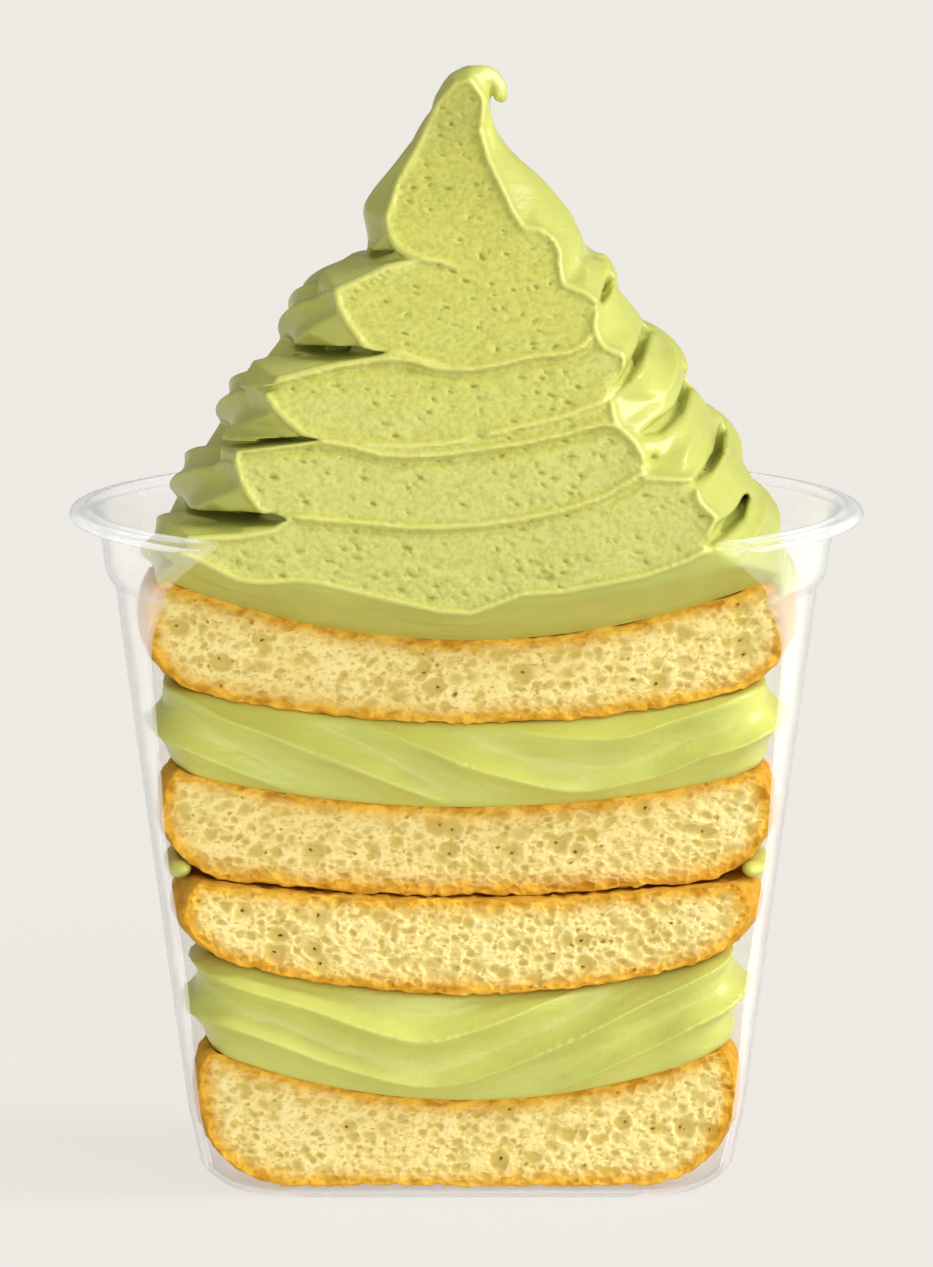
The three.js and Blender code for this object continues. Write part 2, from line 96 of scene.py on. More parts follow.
def cup_profile():
    """Half of the cup's section, from the axis round the outside to the rim and back inside."""
    outside = [(0, 0)]
    inside = [(0, FLOOR)]
    foot_inside = FOOT_RADIUS - WALL
    for turn in np.radians(np.linspace(0, 90, FOOT_STEPS)):
        out, up = math.sin(turn), 1 - math.cos(turn)
        outside.append((BASE_RADIUS + (FOOT_RADIUS - BASE_RADIUS) * out, FOOT_HEIGHT * up))
        inside.append((BASE_RADIUS - 1 + (foot_inside - BASE_RADIUS + 1) * out,
                       FLOOR + (FOOT_HEIGHT + GAP - FLOOR) * up))
    rim_under = CUP_HEIGHT - RIM_THICKNESS
    neck = MOUTH_RADIUS - NECK_TUCK
    outside += [
        (WALL_FOOT_RADIUS, WALL_FOOT_HEIGHT),
        (STEP_RADIUS, STEP_HEIGHT),
        (STEP_RADIUS + STEP_ROUND, STEP_HEIGHT + STEP_ROUND),
        (COLLAR_RADIUS, COLLAR_HEIGHT),
        (neck, rim_under - NECK_DROP),
        (neck + NECK_DROP, rim_under),
        (RIM_RADIUS - RIM_ROUND, rim_under - RIM_ROUND),
        (RIM_RADIUS, rim_under),
        (RIM_RADIUS, CUP_HEIGHT - RIM_ROUND),
        (RIM_RADIUS - RIM_ROUND, CUP_HEIGHT),
        (RIM_BEAD_RADIUS + RIM_BEAD_WIDTH, CUP_HEIGHT),
        (RIM_BEAD_RADIUS, CUP_HEIGHT + RIM_BEAD_HEIGHT),
        (MOUTH_RADIUS, CUP_HEIGHT),
    ]
    inside += [
        (WALL_FOOT_RADIUS - WALL, WALL_FOOT_HEIGHT),
        (STEP_RADIUS - WALL, STEP_HEIGHT + GAP),
        (STEP_RADIUS + STEP_ROUND - WALL, STEP_HEIGHT + STEP_ROUND + GAP),
        (COLLAR_RADIUS - WALL, COLLAR_HEIGHT + GAP),
        (neck - WALL, rim_under),
    ]
    return rounded(outside + inside[::-1], CORNER_REACH)


def band_triangles(rows, columns):
    """Triangles between closed rows of points, stored row after row."""
    r, c = np.meshgrid(np.arange(rows - 1), np.arange(columns), indexing="ij")
    a = r * columns + c
    b = r * columns + (c + 1) % columns
    d, e = a + columns, b + columns
    return np.concatenate([
        np.stack([a, b, e], -1).reshape(-1, 3),
        np.stack([a, e, d], -1).reshape(-1, 3),
    ])


def fan_triangles(middle, ring, outward=True):
    """Triangles from a middle point to a closed ring of points."""
    ring = np.asarray(ring)
    onward = np.roll(ring, -1)
    sides = (ring, onward) if outward else (onward, ring)
    return np.stack([np.full(len(ring), middle), *sides], -1)


def added(name, data):
    """A new object, put in the scene."""
    piece = bpy.data.objects.new(name, data)
    bpy.context.scene.collection.objects.link(piece)
    return piece


def mesh_object(name, points, triangles):
    """A smooth mesh object from points in millimetres."""
    mesh = bpy.data.meshes.new(name)
    mesh.vertices.add(len(points))
    mesh.vertices.foreach_set("co", (np.asarray(points, np.float32) * MM).ravel())
    mesh.loops.add(len(triangles) * 3)
    mesh.loops.foreach_set("vertex_index", np.asarray(triangles, np.int32).ravel())
    mesh.polygons.add(len(triangles))
    mesh.polygons.foreach_set("loop_start", np.arange(len(triangles), dtype=np.int32) * 3)
    mesh.update(calc_edges=True)
    mesh.validate()
    mesh.shade_smooth()
    return added(name, mesh)


def turned(name, profile, sides):
    """An open profile from axis to axis, turned round the Z axis."""
    ring = profile[1:-1]
    angle = np.linspace(0, 2 * np.pi, sides, endpoint=False)
    points = np.stack([
        ring[:, :1] * np.cos(angle),
        ring[:, :1] * np.sin(angle),
        np.repeat(ring[:, 1:], sides, 1),
    ], -1).reshape(-1, 3)
    count = len(points)
    points = np.vstack([points, [0, 0, profile[0, 1]], [0, 0, profile[-1, 1]]])
    triangles = np.concatenate([
        band_triangles(len(ring), sides),
        fan_triangles(count, np.arange(sides), outward=False),
        fan_triangles(count + 1, np.arange(count - sides, count)),
    ])
    return mesh_object(name, points, triangles)


def cut_by(piece, cutter):
    """Takes the cutter's solid out of the piece, and removes the cutter."""
    cut = piece.modifiers.new("cut", "BOOLEAN")
    cut.operation = "DIFFERENCE"
    cut.solver = "MANIFOLD"
    cut.object = cutter
    bpy.context.view_layer.update()
    shape = bpy.data.meshes.new_from_object(piece.evaluated_get(bpy.context.evaluated_depsgraph_get()))
    piece.modifiers.clear()
    piece.data = shape
    bpy.data.objects.remove(cutter)


def prism_across(name, outline, half_width):
    """An outline of (y, z) pairs in millimetres, drawn out along X."""
    points = [(x * MM, y * MM, z * MM) for x in (half_width, -half_width) for y, z in outline]
    n = len(outline)
    faces = [tuple(range(n)), tuple(range(2 * n - 1, n - 1, -1))]
    faces += [(i, i + n, (i + 1) % n + n, (i + 1) % n) for i in range(n)]
    mesh = bpy.data.meshes.new(name)
    mesh.from_pydata(points, [], faces)
    return added(name, mesh)


class Paint:
    """A material's nodes, added and joined one at a time."""

    def __init__(self, name):
        self.material = bpy.data.materials.new(name)
        self.material.use_nodes = True
        self.tree = self.material.node_tree
        self.shader = self.tree.nodes["Principled BSDF"]

    def node(self, kind, **settings):
        made = self.tree.nodes.new("ShaderNode" + kind)
        for key, value in settings.items():
            setattr(made, key, value)
        return made

    def join(self, output, socket):
        self.tree.links.new(output, socket)

    def feed(self, output, name):
        """Joins an output to the shader's input of that name."""
        self.join(output, self.shader.inputs[name])

    def set(self, **values):
        for key, value in values.items():
            self.shader.inputs[key.replace("_", " ")].default_value = value

    def noise(self, scale, detail=3, stretch=(1, 1, 1)):
        """Noise in the piece's own space, scale in lumps for each metre."""
        place = self.node("TexCoord").outputs["Object"]
        spread = self.node("Mapping")
        spread.inputs["Scale"].default_value = stretch
        texture = self.node("TexNoise")
        texture.inputs["Scale"].default_value = scale
        texture.inputs["Detail"].default_value = detail
        self.join(place, spread.inputs["Vector"])
        self.join(spread.outputs["Vector"], texture.inputs["Vector"])
        return texture.outputs["Fac"]

    def attribute(self, name):
        return self.node("Attribute", attribute_name=name).outputs["Fac"]

    def ramp(self, source, *stops):
        """Colours or greys against a value: each stop is (position, colour)."""
        ramp = self.node("ValToRGB")
        elements = ramp.color_ramp.elements
        while len(elements) < len(stops):
            elements.new(0.5)
        for element, (position, colour) in zip(elements, stops):
            element.position = position
            element.color = (*colour, 1) if hasattr(colour, "__len__") else (colour, colour, colour, 1)
        self.join(source, ramp.inputs["Fac"])
        return ramp.outputs["Color"]

    def mix(self, share, low, high):
        """Mixes two colours; each argument is a socket or a constant."""
        mix = self.node("Mix", data_type="RGBA")
        for socket, value in ((mix.inputs[0], share), (mix.inputs[6], low), (mix.inputs[7], high)):
            if isinstance(value, bpy.types.NodeSocket):
                self.join(value, socket)
            else:
                socket.default_value = (*value, 1) if hasattr(value, "__len__") else value
        return mix.outputs[2]

    def bump(self, height, strength, distance, normal=None):
        bump = self.node("Bump")
        bump.inputs["Strength"].default_value = strength
        bump.inputs["Distance"].default_value = distance
        self.join(height, bump.inputs["Height"])
        if normal is not None:
            self.join(normal, bump.inputs["Normal"])
        return bump.outputs["Normal"]


def finish_piece(piece, node, material):
    """Puts a piece in its node's place, with its material."""
    piece.data.materials.clear()
    piece.data.materials.append(material)
    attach(piece, "root")
    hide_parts(node)
    return piece


def clear_plastic():
    """Thin clear plastic with a white haze: see-through face on, denser and glossy edge on, and grey edge on
    as painted shade for the dark lines that refraction draws along the wall.
    """
    paint = Paint("clear_plastic")
    slant = paint.node("LayerWeight")
    slant.inputs["Blend"].default_value = 0.5
    haze = paint.ramp(slant.outputs["Facing"], (0.0, 0.05), (0.5, 0.07), (0.68, 0.26),
                      (0.88, 0.42), (1.0, 0.85))
    paint.feed(haze, "Alpha")
    # Painted shade: the colour turns dark grey where the wall is seen edge on, in place of the dark lines
    # that refraction and reflection draw there.
    edges = paint.ramp(slant.outputs["Facing"], (0.76, (0.96, 0.97, 0.985)), (0.9, (0.40, 0.43, 0.48)))
    paint.feed(edges, "Base Color")
    paint.set(Roughness=0.08, IOR=1.45, Specular_IOR_Level=0.8,
              Subsurface_Weight=1.0, Subsurface_Radius=(1, 1, 1), Subsurface_Scale=0.003)
    ripple = paint.noise(60, 2, (1, 1, 0.25))
    paint.feed(paint.bump(ripple, 0.03, 0.001), "Normal")
    return paint.material


def clear_cup():
    piece = turned("clear_cup", cup_profile(), CUP_SIDES)
    far, above = RIM_RADIUS + BEYOND, CUP_HEIGHT + BEYOND
    front = [(-distance, height) for height, distance in CUP_CUT]
    front = rounded([(front[0][0], -BEYOND), *front, (front[-1][0] - BEYOND, above)], CUT_EDGE_REACH)
    outline = [(-far, -BEYOND), *[tuple(point) for point in front], (-far, above)]
    cut_by(piece, prism_across("cup_cutter", outline, far))
    piece.data.shade_smooth()
    piece.data.set_sharp_from_angle(angle=math.radians(35))
    finish_piece(piece, "cup", clear_plastic())


clear_cup()

# ---- Sponge cakes -------------------------------------------------------------------------
# Four round cakes of egg sponge, baked in a tray with a thin golden crust all round, then sliced
# by a knife from top to bottom. The slice shows an open crumb: a few round cells about 3 mm wide,
# and countless small torn ones.

SPONGES = [
    dict(radius=34, cut=8, waist=13, low=1.2, low_sag=0, low_round=11, high=11.7, high_sag=0.0062,
         high_round=2.4),
    dict(radius=36.6, cut=12, waist=35.6, low=25.2, low_sag=0.0046, low_round=7, high=37.3,
         high_sag=0.002, high_round=2.2),
    dict(radius=38.3, cut=9, waist=47.6, low=37.6, low_sag=0.002, low_round=8.5, high=48.5,
         high_sag=0.0035, high_round=2.4),
    dict(radius=40.6, cut=11, waist=71, low=59, low_sag=0.0035, low_round=6.5, high=69.15,
         high_sag=0.0054, high_round=2.4),
]
FACE_COLUMNS = 500
FACE_ROWS = 96
BODY_ROWS = 44
RASTER = 0.12
CRUST_DEPTH = 1.4
EDGE_SETTLE = 0.5
LUMP_GRAIN, LUMP_HEIGHT = 3.2, 0.24
FLAKE_GRAIN, FLAKE_HEIGHT = 0.9, 0.22
RASTER_MARGIN = 2


def noise(points, grain, seed):
    """Smooth noise from -1 to 1 at points in millimetres, in lumps of about that grain."""
    size = 32
    lattice = np.random.default_rng(seed).uniform(-1, 1, (size, size, size)).astype(np.float32)
    at = np.asarray(points, np.float32) / grain
    low = np.floor(at).astype(np.int32)
    share = at - low
    share = share * share * (3 - 2 * share)
    value = 0
    for corner in np.ndindex(2, 2, 2):
        weight = np.prod(np.where(np.array(corner), share, 1 - share), -1)
        i, j, k = np.moveaxis((low + np.array(corner)) % size, -1, 0)
        value = value + weight * lattice[i, j, k]
    return value


def edge_round(r, radius, width):
    """How far a slab's edge has rounded off at a radius: 1 on the flat, 0 at the widest place."""
    into = np.clip((r - radius + width) / width, 0, 1)
    return np.sqrt(1 - into * into)


def sponge_low(cake, r):
    under = cake["low"] + cake["low_sag"] * r * r
    return cake["waist"] - (cake["waist"] - under) * edge_round(r, cake["radius"], cake["low_round"])


def sponge_high(cake, r):
    over = cake["high"] + cake["high_sag"] * r * r
    return cake["waist"] + (over - cake["waist"]) * edge_round(r, cake["radius"], cake["high_round"])


def evenly_spread(width, low, high, count):
    """Shares from -1 to 1 of a slice's half width, spaced evenly along its outline."""
    turn = np.linspace(-np.pi / 2, np.pi / 2, 4001)
    x = width * np.sin(turn)
    middle = (low(x) + high(x)) / 2
    step = np.hypot(np.diff(x), np.diff(high(x) - middle))
    along = np.concatenate([[0], np.cumsum(step)])
    return np.sin(np.interp(np.linspace(0, along[-1], count), along, turn))


class Relief:
    """Depths in millimetres over an upright plane, on a fine raster of x and z."""

    def __init__(self, low, high):
        self.low = np.array(low, float) - RASTER_MARGIN
        shape = np.ceil((np.array(high) + RASTER_MARGIN - self.low) / RASTER).astype(int) + 1
        self.depth = np.zeros(shape)

    def dents(self, rng, count, radius, depth, stretch=1.3, power=1.0):
        """Presses in round dents at random places, with radius and depth drawn from ranges."""
        high = self.low + RASTER * np.array(self.depth.shape)
        for _ in range(count):
            middle = rng.uniform(self.low + RASTER_MARGIN, high - RASTER_MARGIN)
            size = rng.uniform(*radius)
            deep = rng.uniform(*depth)
            self.dent(middle, size, deep, rng.uniform(1, stretch), rng.normal(0, 0.35), power)

    def dent(self, middle, size, deep, stretch, turn, power):
        """One dent, stretched along a turned line, with a low lip round it."""
        reach = size * stretch * 1.35
        first = np.maximum(((middle - reach - self.low) / RASTER).astype(int), 0)
        last = ((middle + reach - self.low) / RASTER).astype(int) + 2
        window = self.depth[first[0]:last[0], first[1]:last[1]]
        x, z = np.meshgrid(*[self.low[k] + RASTER * (first[k] + np.arange(window.shape[k])) - middle[k]
                             for k in (0, 1)], indexing="ij")
        along = (x * math.cos(turn) + z * math.sin(turn)) / stretch
        across = z * math.cos(turn) - x * math.sin(turn)
        out = (along ** 2 + across ** 2) / size ** 2
        bowl = deep * np.clip(1 - out, 0, 1) ** power
        lip = 0.12 * deep * np.exp(-((np.sqrt(out) - 1.08) / 0.14) ** 2)
        window[:] = np.where(out < 1, np.maximum(window, bowl), window - lip)

    def at(self, x, z):
        """The depth at points, smoothed between the raster's own."""
        where = (np.stack([x, z]) - self.low[:, None]) / RASTER
        i, j = np.clip(np.floor(where).astype(int), 0, np.array(self.depth.shape)[:, None] - 2)
        u, v = where[0] - i, where[1] - j
        d = self.depth
        return ((d[i, j] * (1 - u) + d[i + 1, j] * u) * (1 - v)
                + (d[i, j + 1] * (1 - u) + d[i + 1, j + 1] * u) * v)


def crumb(low, high, seed):
    """The relief of a sliced crumb: torn cells in three sizes, round cells and pinholes."""
    rng = np.random.default_rng(seed)
    relief = Relief(low, high)
    area = (high[0] - low[0]) * (high[1] - low[1])
    tiny, small, wide, round_ones, pinholes = [int(area * share) for share in (1.6, 0.55, 0.05, 0.009, 0.02)]
    relief.dents(rng, tiny, radius=(0.16, 0.32), depth=(0.12, 0.34), stretch=2.0)
    relief.dents(rng, small, radius=(0.32, 0.65), depth=(0.22, 0.5), stretch=1.8, power=0.8)
    relief.dents(rng, wide, radius=(0.7, 1.0), depth=(0.3, 0.5), stretch=1.5, power=0.7)
    for _ in range(max(3, round_ones)):
        middle = rng.uniform(np.array(low) + 3, np.array(high) - 3)
        size = rng.uniform(1.0, 1.5)
        relief.dent(middle, size, rng.uniform(0.4, 0.6), rng.uniform(1, 1.2), rng.normal(0, 0.3), 0.6)
        relief.dent(middle + rng.normal(0, 0.25, 2), 0.22, rng.uniform(1.1, 1.4), 1.2, 0, 0.6)
    relief.dents(rng, pinholes, radius=(0.16, 0.26), depth=(0.7, 1.0), stretch=1.3, power=0.6)
    return relief


def distance_to(line, points, batch=4000):
    """How far points lie from the nearest point of a line of points, a batch at a time."""
    out = np.empty(len(points))
    for first in range(0, len(points), batch):
        part = points[first:first + batch]
        out[first:first + batch] = np.sqrt(((part[:, None] - line[None]) ** 2).sum(-1)).min(1)
    return out


def add_attribute(piece, name, values):
    made = piece.data.attributes.new(name, "FLOAT", "POINT")
    made.data.foreach_set("value", np.asarray(values, np.float32))


def sponge_crumb():
    """Pale torn walls round pits painted olive as shade, with painted highlights on the walls, turning
    golden and then brown towards the crust.
    """
    paint = Paint("sponge_crumb")
    fine = paint.noise(1700, 4, (0.8, 1, 1.15))
    torn = paint.noise(620, 4, (0.75, 1, 1.2))
    blotch = paint.noise(170, 3)
    cell = paint.attribute("cell")
    crust = paint.attribute("crust")
    wall = paint.ramp(blotch, (0.3, (0.95, 0.80, 0.36)), (0.7, (0.88, 0.71, 0.27)))
    # Painted shade and highlight: the low spots of both noises darken the crumb where pores too small to
    # model lie in shade, and the fine noise's high spots lighten it as painted highlights on the torn walls.
    pore_shade = paint.ramp(torn, (0.34, 0.75), (0.42, 0.0))
    crumbs = paint.mix(pore_shade, wall, (0.76, 0.58, 0.16))
    crumbs = paint.mix(paint.ramp(fine, (0.33, 0.75), (0.43, 0.0)), crumbs, (0.56, 0.39, 0.07))
    crumbs = paint.mix(paint.ramp(fine, (0.55, 0.0), (0.72, 0.5)), crumbs, (0.98, 0.88, 0.50))
    # Painted shade in the modelled dents: the cell attribute, their depth, turns the crumb olive and then
    # black-brown in the deepest ones.
    crumbs = paint.mix(paint.ramp(cell, (0.1, 0.0), (0.4, 0.85)), crumbs, (0.60, 0.45, 0.10))
    crumbs = paint.mix(paint.ramp(cell, (0.6, 0.0), (0.95, 0.9)), crumbs, (0.20, 0.12, 0.02))
    golden = paint.ramp(torn, (0.35, (0.58, 0.27, 0.012)), (0.6, (0.88, 0.53, 0.06)))
    edge = paint.mix(paint.ramp(crust, (0.8, 0.0), (1.0, 0.65)), golden, (0.54, 0.24, 0.012))
    paint.feed(paint.mix(paint.ramp(crust, (0.12, 0.0), (0.6, 1.0)), crumbs, edge), "Base Color")
    paint.set(Roughness=0.8, Subsurface_Weight=0.15, Subsurface_Radius=(1.0, 0.8, 0.4),
              Subsurface_Scale=0.0008, Specular_IOR_Level=0.25)
    small = paint.bump(fine, 0.5, 0.0003)
    paint.feed(paint.bump(torn, 0.35, 0.0006, small), "Normal")
    return paint.material


def sponge_cake(number, cake, material):
    cut, radius = cake["cut"], cake["radius"]
    width = math.sqrt(radius ** 2 - cut ** 2)
    low_at = lambda x, y=-cut: sponge_low(cake, np.hypot(x, y))
    high_at = lambda x, y=-cut: sponge_high(cake, np.hypot(x, y))
    spread = evenly_spread(width, low_at, high_at, FACE_COLUMNS)
    top = spread[::-1][1:-1]

    # Slices from the cut face back to the rim, each a closed ring: along the underside from left
    # to right, and back over the top.
    rings = []
    for y in radius * np.sin(np.linspace(-math.asin(cut / radius), math.pi / 2, BODY_ROWS)[:-1]):
        half = math.sqrt(radius ** 2 - y ** 2)
        x = half * np.concatenate([spread, top])
        z = np.concatenate([low_at(half * spread, y), high_at(half * top, y)])
        rings.append(np.stack([x, np.full_like(x, y), z], -1))
    around = len(rings[0])
    body = np.concatenate([*rings, [[0, radius, cake["waist"]]]])
    back = len(body) - 1

    # The cut face, a grid between the underside's and the top's edges.
    inner = spread[1:-1] * width
    share = np.linspace(0, 1, FACE_ROWS)[1:-1, None]
    face_z = low_at(inner) * (1 - share) + high_at(inner) * share
    face_x = np.broadcast_to(inner, face_z.shape)
    face = np.stack([face_x, np.full_like(face_z, -cut), face_z], -1).reshape(-1, 3)

    first = len(body)
    columns = FACE_COLUMNS - 2
    under_edge = np.arange(1, FACE_COLUMNS - 1)
    top_edge = np.arange(around - 1, FACE_COLUMNS - 1, -1)
    grid = np.concatenate([under_edge[None], first + np.arange(len(face)).reshape(-1, columns),
                           top_edge[None]])
    a, b, c, d = grid[:-1, :-1], grid[:-1, 1:], grid[1:, 1:], grid[1:, :-1]
    face_triangles = [np.stack([a, b, c], -1).reshape(-1, 3), np.stack([a, c, d], -1).reshape(-1, 3)]
    for corner, side, flip in ((0, grid[:, 0], True), (FACE_COLUMNS - 1, grid[:, -1], False)):
        low, high = side[:-1], side[1:]
        pair = (high, low) if flip else (low, high)
        face_triangles.append(np.stack([np.full(len(low), corner), *pair], -1))
    triangles = np.concatenate([
        band_triangles(len(rings), around)[:, ::-1],
        fan_triangles(back, np.arange(back - around, back), outward=False)[:, ::-1],
        *face_triangles,
    ])

    outline = rings[0][:, [0, 2]]
    inwards = distance_to(outline, face[:, [0, 2]])
    relief = crumb((-width, face[:, 2].min()), (width, face[:, 2].max()), 10 + number)
    ragged = noise(face, 1.3, 20 + number) * 0.3 + noise(face, 5, 30 + number) * 0.25
    depth = relief.at(face[:, 0], face[:, 2])
    depth = depth + 0.05 * noise(face, 0.35, 40 + number)
    face[:, 1] += depth * np.clip(inwards / EDGE_SETTLE, 0, 1)

    points = np.vstack([body, face])
    lumps = np.stack([noise(points, LUMP_GRAIN, 50 + 3 * number + k) for k in range(3)], -1)
    flakes = np.stack([noise(points, FLAKE_GRAIN, 70 + 3 * number + k) for k in range(3)], -1)
    shift = LUMP_HEIGHT * lumps + FLAKE_HEIGHT * flakes
    shift[:, 1] *= 0.3
    points = points + shift

    face_crust = np.exp(-np.maximum(0, inwards + ragged * 0.9) / CRUST_DEPTH)
    crust = np.concatenate([np.ones(len(body)), face_crust])
    # The dents' depth, kept for the paint: painted shade in the pits.
    cell = np.concatenate([np.zeros(len(body)), np.clip(depth, 0, 1)])
    piece = mesh_object(f"sponge_cake_{number}", points, triangles)
    add_attribute(piece, "crust", crust)
    add_attribute(piece, "cell", cell)
    finish_piece(piece, f"sponge_{number}", material)


crumb_material = sponge_crumb()
for number, cake in enumerate(SPONGES, 1):
    sponge_cake(number, cake, crumb_material)

# ---- Piped cream layers -------------------------------------------------------------------
# Pistachio cream piped on the lower cake through a star nozzle, and pressed out by the weight of
# the cakes above into a round, glossy bulge. The nozzle's ridges hang across it in garlands.

FILLINGS = [
    dict(radius=35.7, cut=13.8, edge=4.6, dip=-4, slopes=(0.36, 0.5), sill=6, ridge_height=14.3,
         ridge_step=5.9),
    dict(radius=40, cut=14.1, edge=4.8, dip=14, slopes=(0.42, 0.42), sill=8, ridge_height=51.3,
         ridge_step=6.2),
]
FILLING_CORNER = 7
FILLING_FULLNESS = 0.85
RIDGE_RELIEF = 2.3
CREST_SHARPNESS = 0.85
CREAM_SINK = 0.1
GARLAND_WANDER = 0.5
DRAG_RELIEF = 0.1
FILLING_SIDES = 640
FILLING_EDGE_ROWS = 72


def flute(phase):
    """Height of a star-nozzle ridge: a crest at every whole phase, with a hollow between."""
    return 1 - np.abs(np.sin(np.pi * phase)) ** CREST_SHARPNESS


def filling_outline(layer):
    """Points round the layer seen from above, and the outward directions there."""
    radius, cut = layer["radius"], layer["cut"]
    corner = math.asin(cut / radius)
    turn = corner - FILLING_CORNER / radius
    edge = radius * math.cos(corner)
    angle = np.linspace(-turn, math.pi + turn, 600)
    arc = np.stack([radius * np.cos(angle), radius * np.sin(angle)], -1)
    t = np.linspace(0, 1, 60)[:, None]

    def bend(start, knee, end):
        return (1 - t) ** 2 * np.array(start) + 2 * t * (1 - t) * np.array(knee) + t * t * np.array(end)

    left = bend(arc[-1], (-edge, -cut), (-edge + FILLING_CORNER, -cut))
    right = bend((edge - FILLING_CORNER, -cut), (edge, -cut), arc[0])
    line = np.concatenate([arc, left[1:], right])
    along = np.concatenate([[0], np.cumsum(np.hypot(*np.diff(line, axis=0).T))])
    even = np.linspace(0, along[-1], FILLING_SIDES, endpoint=False)
    points = np.stack([np.interp(even, along, line[:, k]) for k in (0, 1)], -1)
    ahead = np.roll(points, -1, 0) - np.roll(points, 1, 0)
    outward = np.stack([ahead[:, 1], -ahead[:, 0]], -1)
    return points, outward / np.linalg.norm(outward, axis=1, keepdims=True)


def cream_nodes(name, shade, bubbles):
    """Smooth moist cream: a soft mottle, faint streaks and tiny bubbles under a wet gloss."""
    paint = Paint(name)
    mottle = paint.noise(90, 4)
    streak = paint.noise(500, 3, (0.35, 0.35, 1.6))
    light, deep = [tuple(c * k for c in shade) for k in (1.05, 0.90)]
    body = paint.ramp(mottle, (0.3, deep), (0.7, light))
    body = paint.mix(paint.ramp(streak, (0.4, 0.0), (0.75, 0.25)), body, tuple(c * 0.82 for c in shade))
    paint.feed(body, "Base Color")
    paint.set(Roughness=0.36, Subsurface_Weight=0.2, Subsurface_Radius=(1.0, 0.95, 0.4),
              Subsurface_Scale=0.001, Specular_IOR_Level=0.4, Coat_Weight=0.06, Coat_Roughness=0.12)
    fine = paint.bump(paint.noise(1500, 4), bubbles, 0.0002)
    paint.feed(paint.bump(streak, 0.25, 0.0005, fine), "Normal")
    return paint


def cream_filling(number, layer, below, above, material):
    outline, outward = filling_outline(layer)
    edge = np.concatenate([
        [(spread, -90) for spread in (0.2, 0.4, 0.6, 0.8, 0.9)],
        [(1, turn) for turn in np.linspace(-90, 90, FILLING_EDGE_ROWS)],
        [(spread, 90) for spread in (0.9, 0.8, 0.6, 0.4, 0.2)],
    ])
    rows = []
    for spread, turn in edge:
        out = math.cos(math.radians(turn))
        at = (outline - layer["edge"] * (1 - out) * outward) * spread
        r2 = (at ** 2).sum(1)
        low = below["high"] + below["high_sag"] * r2 - CREAM_SINK
        high = above["low"] + above["low_sag"] * r2 + CREAM_SINK
        rise = math.sin(math.radians(turn))
        share = (1 + math.copysign(abs(rise) ** FILLING_FULLNESS, rise)) / 2
        height = low + (high - low) * share
        slope = np.where(at[:, 0] < layer["dip"], *layer["slopes"])
        garland = slope * (np.hypot(at[:, 0] - layer["dip"], layer["sill"]) - layer["sill"])
        garland = garland + GARLAND_WANDER * noise(np.column_stack([at, height]), 7, 96 + number)
        crest = flute((height - garland - layer["ridge_height"]) / layer["ridge_step"])
        drag = noise(np.column_stack([at * 0.3, (height - garland) * 1.3]), 1.0, 98 + number)
        at = at + outward * ((RIDGE_RELIEF * (crest - 1) + DRAG_RELIEF * drag) * out)[:, None]
        rows.append(np.column_stack([at, height]))
    points = np.concatenate(rows)
    sides = FILLING_SIDES
    middles = [[0, 0, below["high"] - CREAM_SINK], [0, 0, above["low"] + CREAM_SINK]]
    count = len(points)
    points = np.vstack([points, middles])
    wobble = 0.004 * noise(points, 6, 90 + number) + 0.0015 * noise(points, 2, 92 + number)
    points[:, :2] *= (1 + wobble)[:, None]
    triangles = np.concatenate([
        band_triangles(len(rows), sides),
        fan_triangles(count, np.arange(sides), outward=False),
        fan_triangles(count + 1, np.arange(count - sides, count)),
    ])
    piece = mesh_object(f"cream_layer_{number}", points, triangles)
    finish_piece(piece, f"filling_{number}", material)


cream_material = cream_nodes("pistachio_cream", (0.60, 0.625, 0.145), 0.4).material
cream_filling(1, FILLINGS[0], SPONGES[0], SPONGES[1], cream_material)
cream_filling(2, FILLINGS[1], SPONGES[2], SPONGES[3], cream_material)

# ---- Cream seam ---------------------------------------------------------------------------
# A little of the same cream between the two middle cakes, pressed out into the groove between
# their rounded edges.

SEAM_RADIUS = 36.2
SEAM_HEIGHT = 40.8
SEAM_WIDTH = 1.4
SEAM_THICKNESS = 1
SEAM_CUT = 10
SEAM_TAPER = 0.05


def cream_seam():
    sides, steps = 480, 24
    cut = math.asin(SEAM_CUT / SEAM_RADIUS)
    angle = np.linspace(-cut, math.pi + cut, sides)[:, None]
    turn = np.linspace(0, 2 * np.pi, steps, endpoint=False)[None]
    taper = np.sqrt(np.clip(np.minimum(angle + cut, math.pi + cut - angle) / SEAM_TAPER, 0.02, 1))
    radius = SEAM_RADIUS + SEAM_WIDTH * taper * np.cos(turn)
    height = SEAM_HEIGHT + SEAM_THICKNESS * taper * np.sin(turn)
    rings = (radius * np.cos(angle), radius * np.sin(angle), height + 0 * angle)
    points = np.stack(rings, -1).reshape(-1, 3)
    points[:, 2] += 0.25 * noise(points, 3, 95)
    count = len(points)
    points = np.vstack([points, points[:steps].mean(0), points[-steps:].mean(0)])
    triangles = np.concatenate([
        band_triangles(sides, steps)[:, ::-1],
        fan_triangles(count, np.arange(steps)),
        fan_triangles(count + 1, np.arange(count - steps, count), outward=False),
    ])
    piece = mesh_object("cream_seam_line", points, triangles)
    finish_piece(piece, "cream_seam", cream_material)


cream_seam()

# ---- Soft-serve swirl ---------------------------------------------------------------------
# Pistachio soft serve drawn as a rope through a star nozzle and wound up in a cone, with a tip
# that curled over as the cup was drawn away. A knife took off its front, which left a porous
# face with a thin smooth lip all round, and a lip where each coil lies on the next.

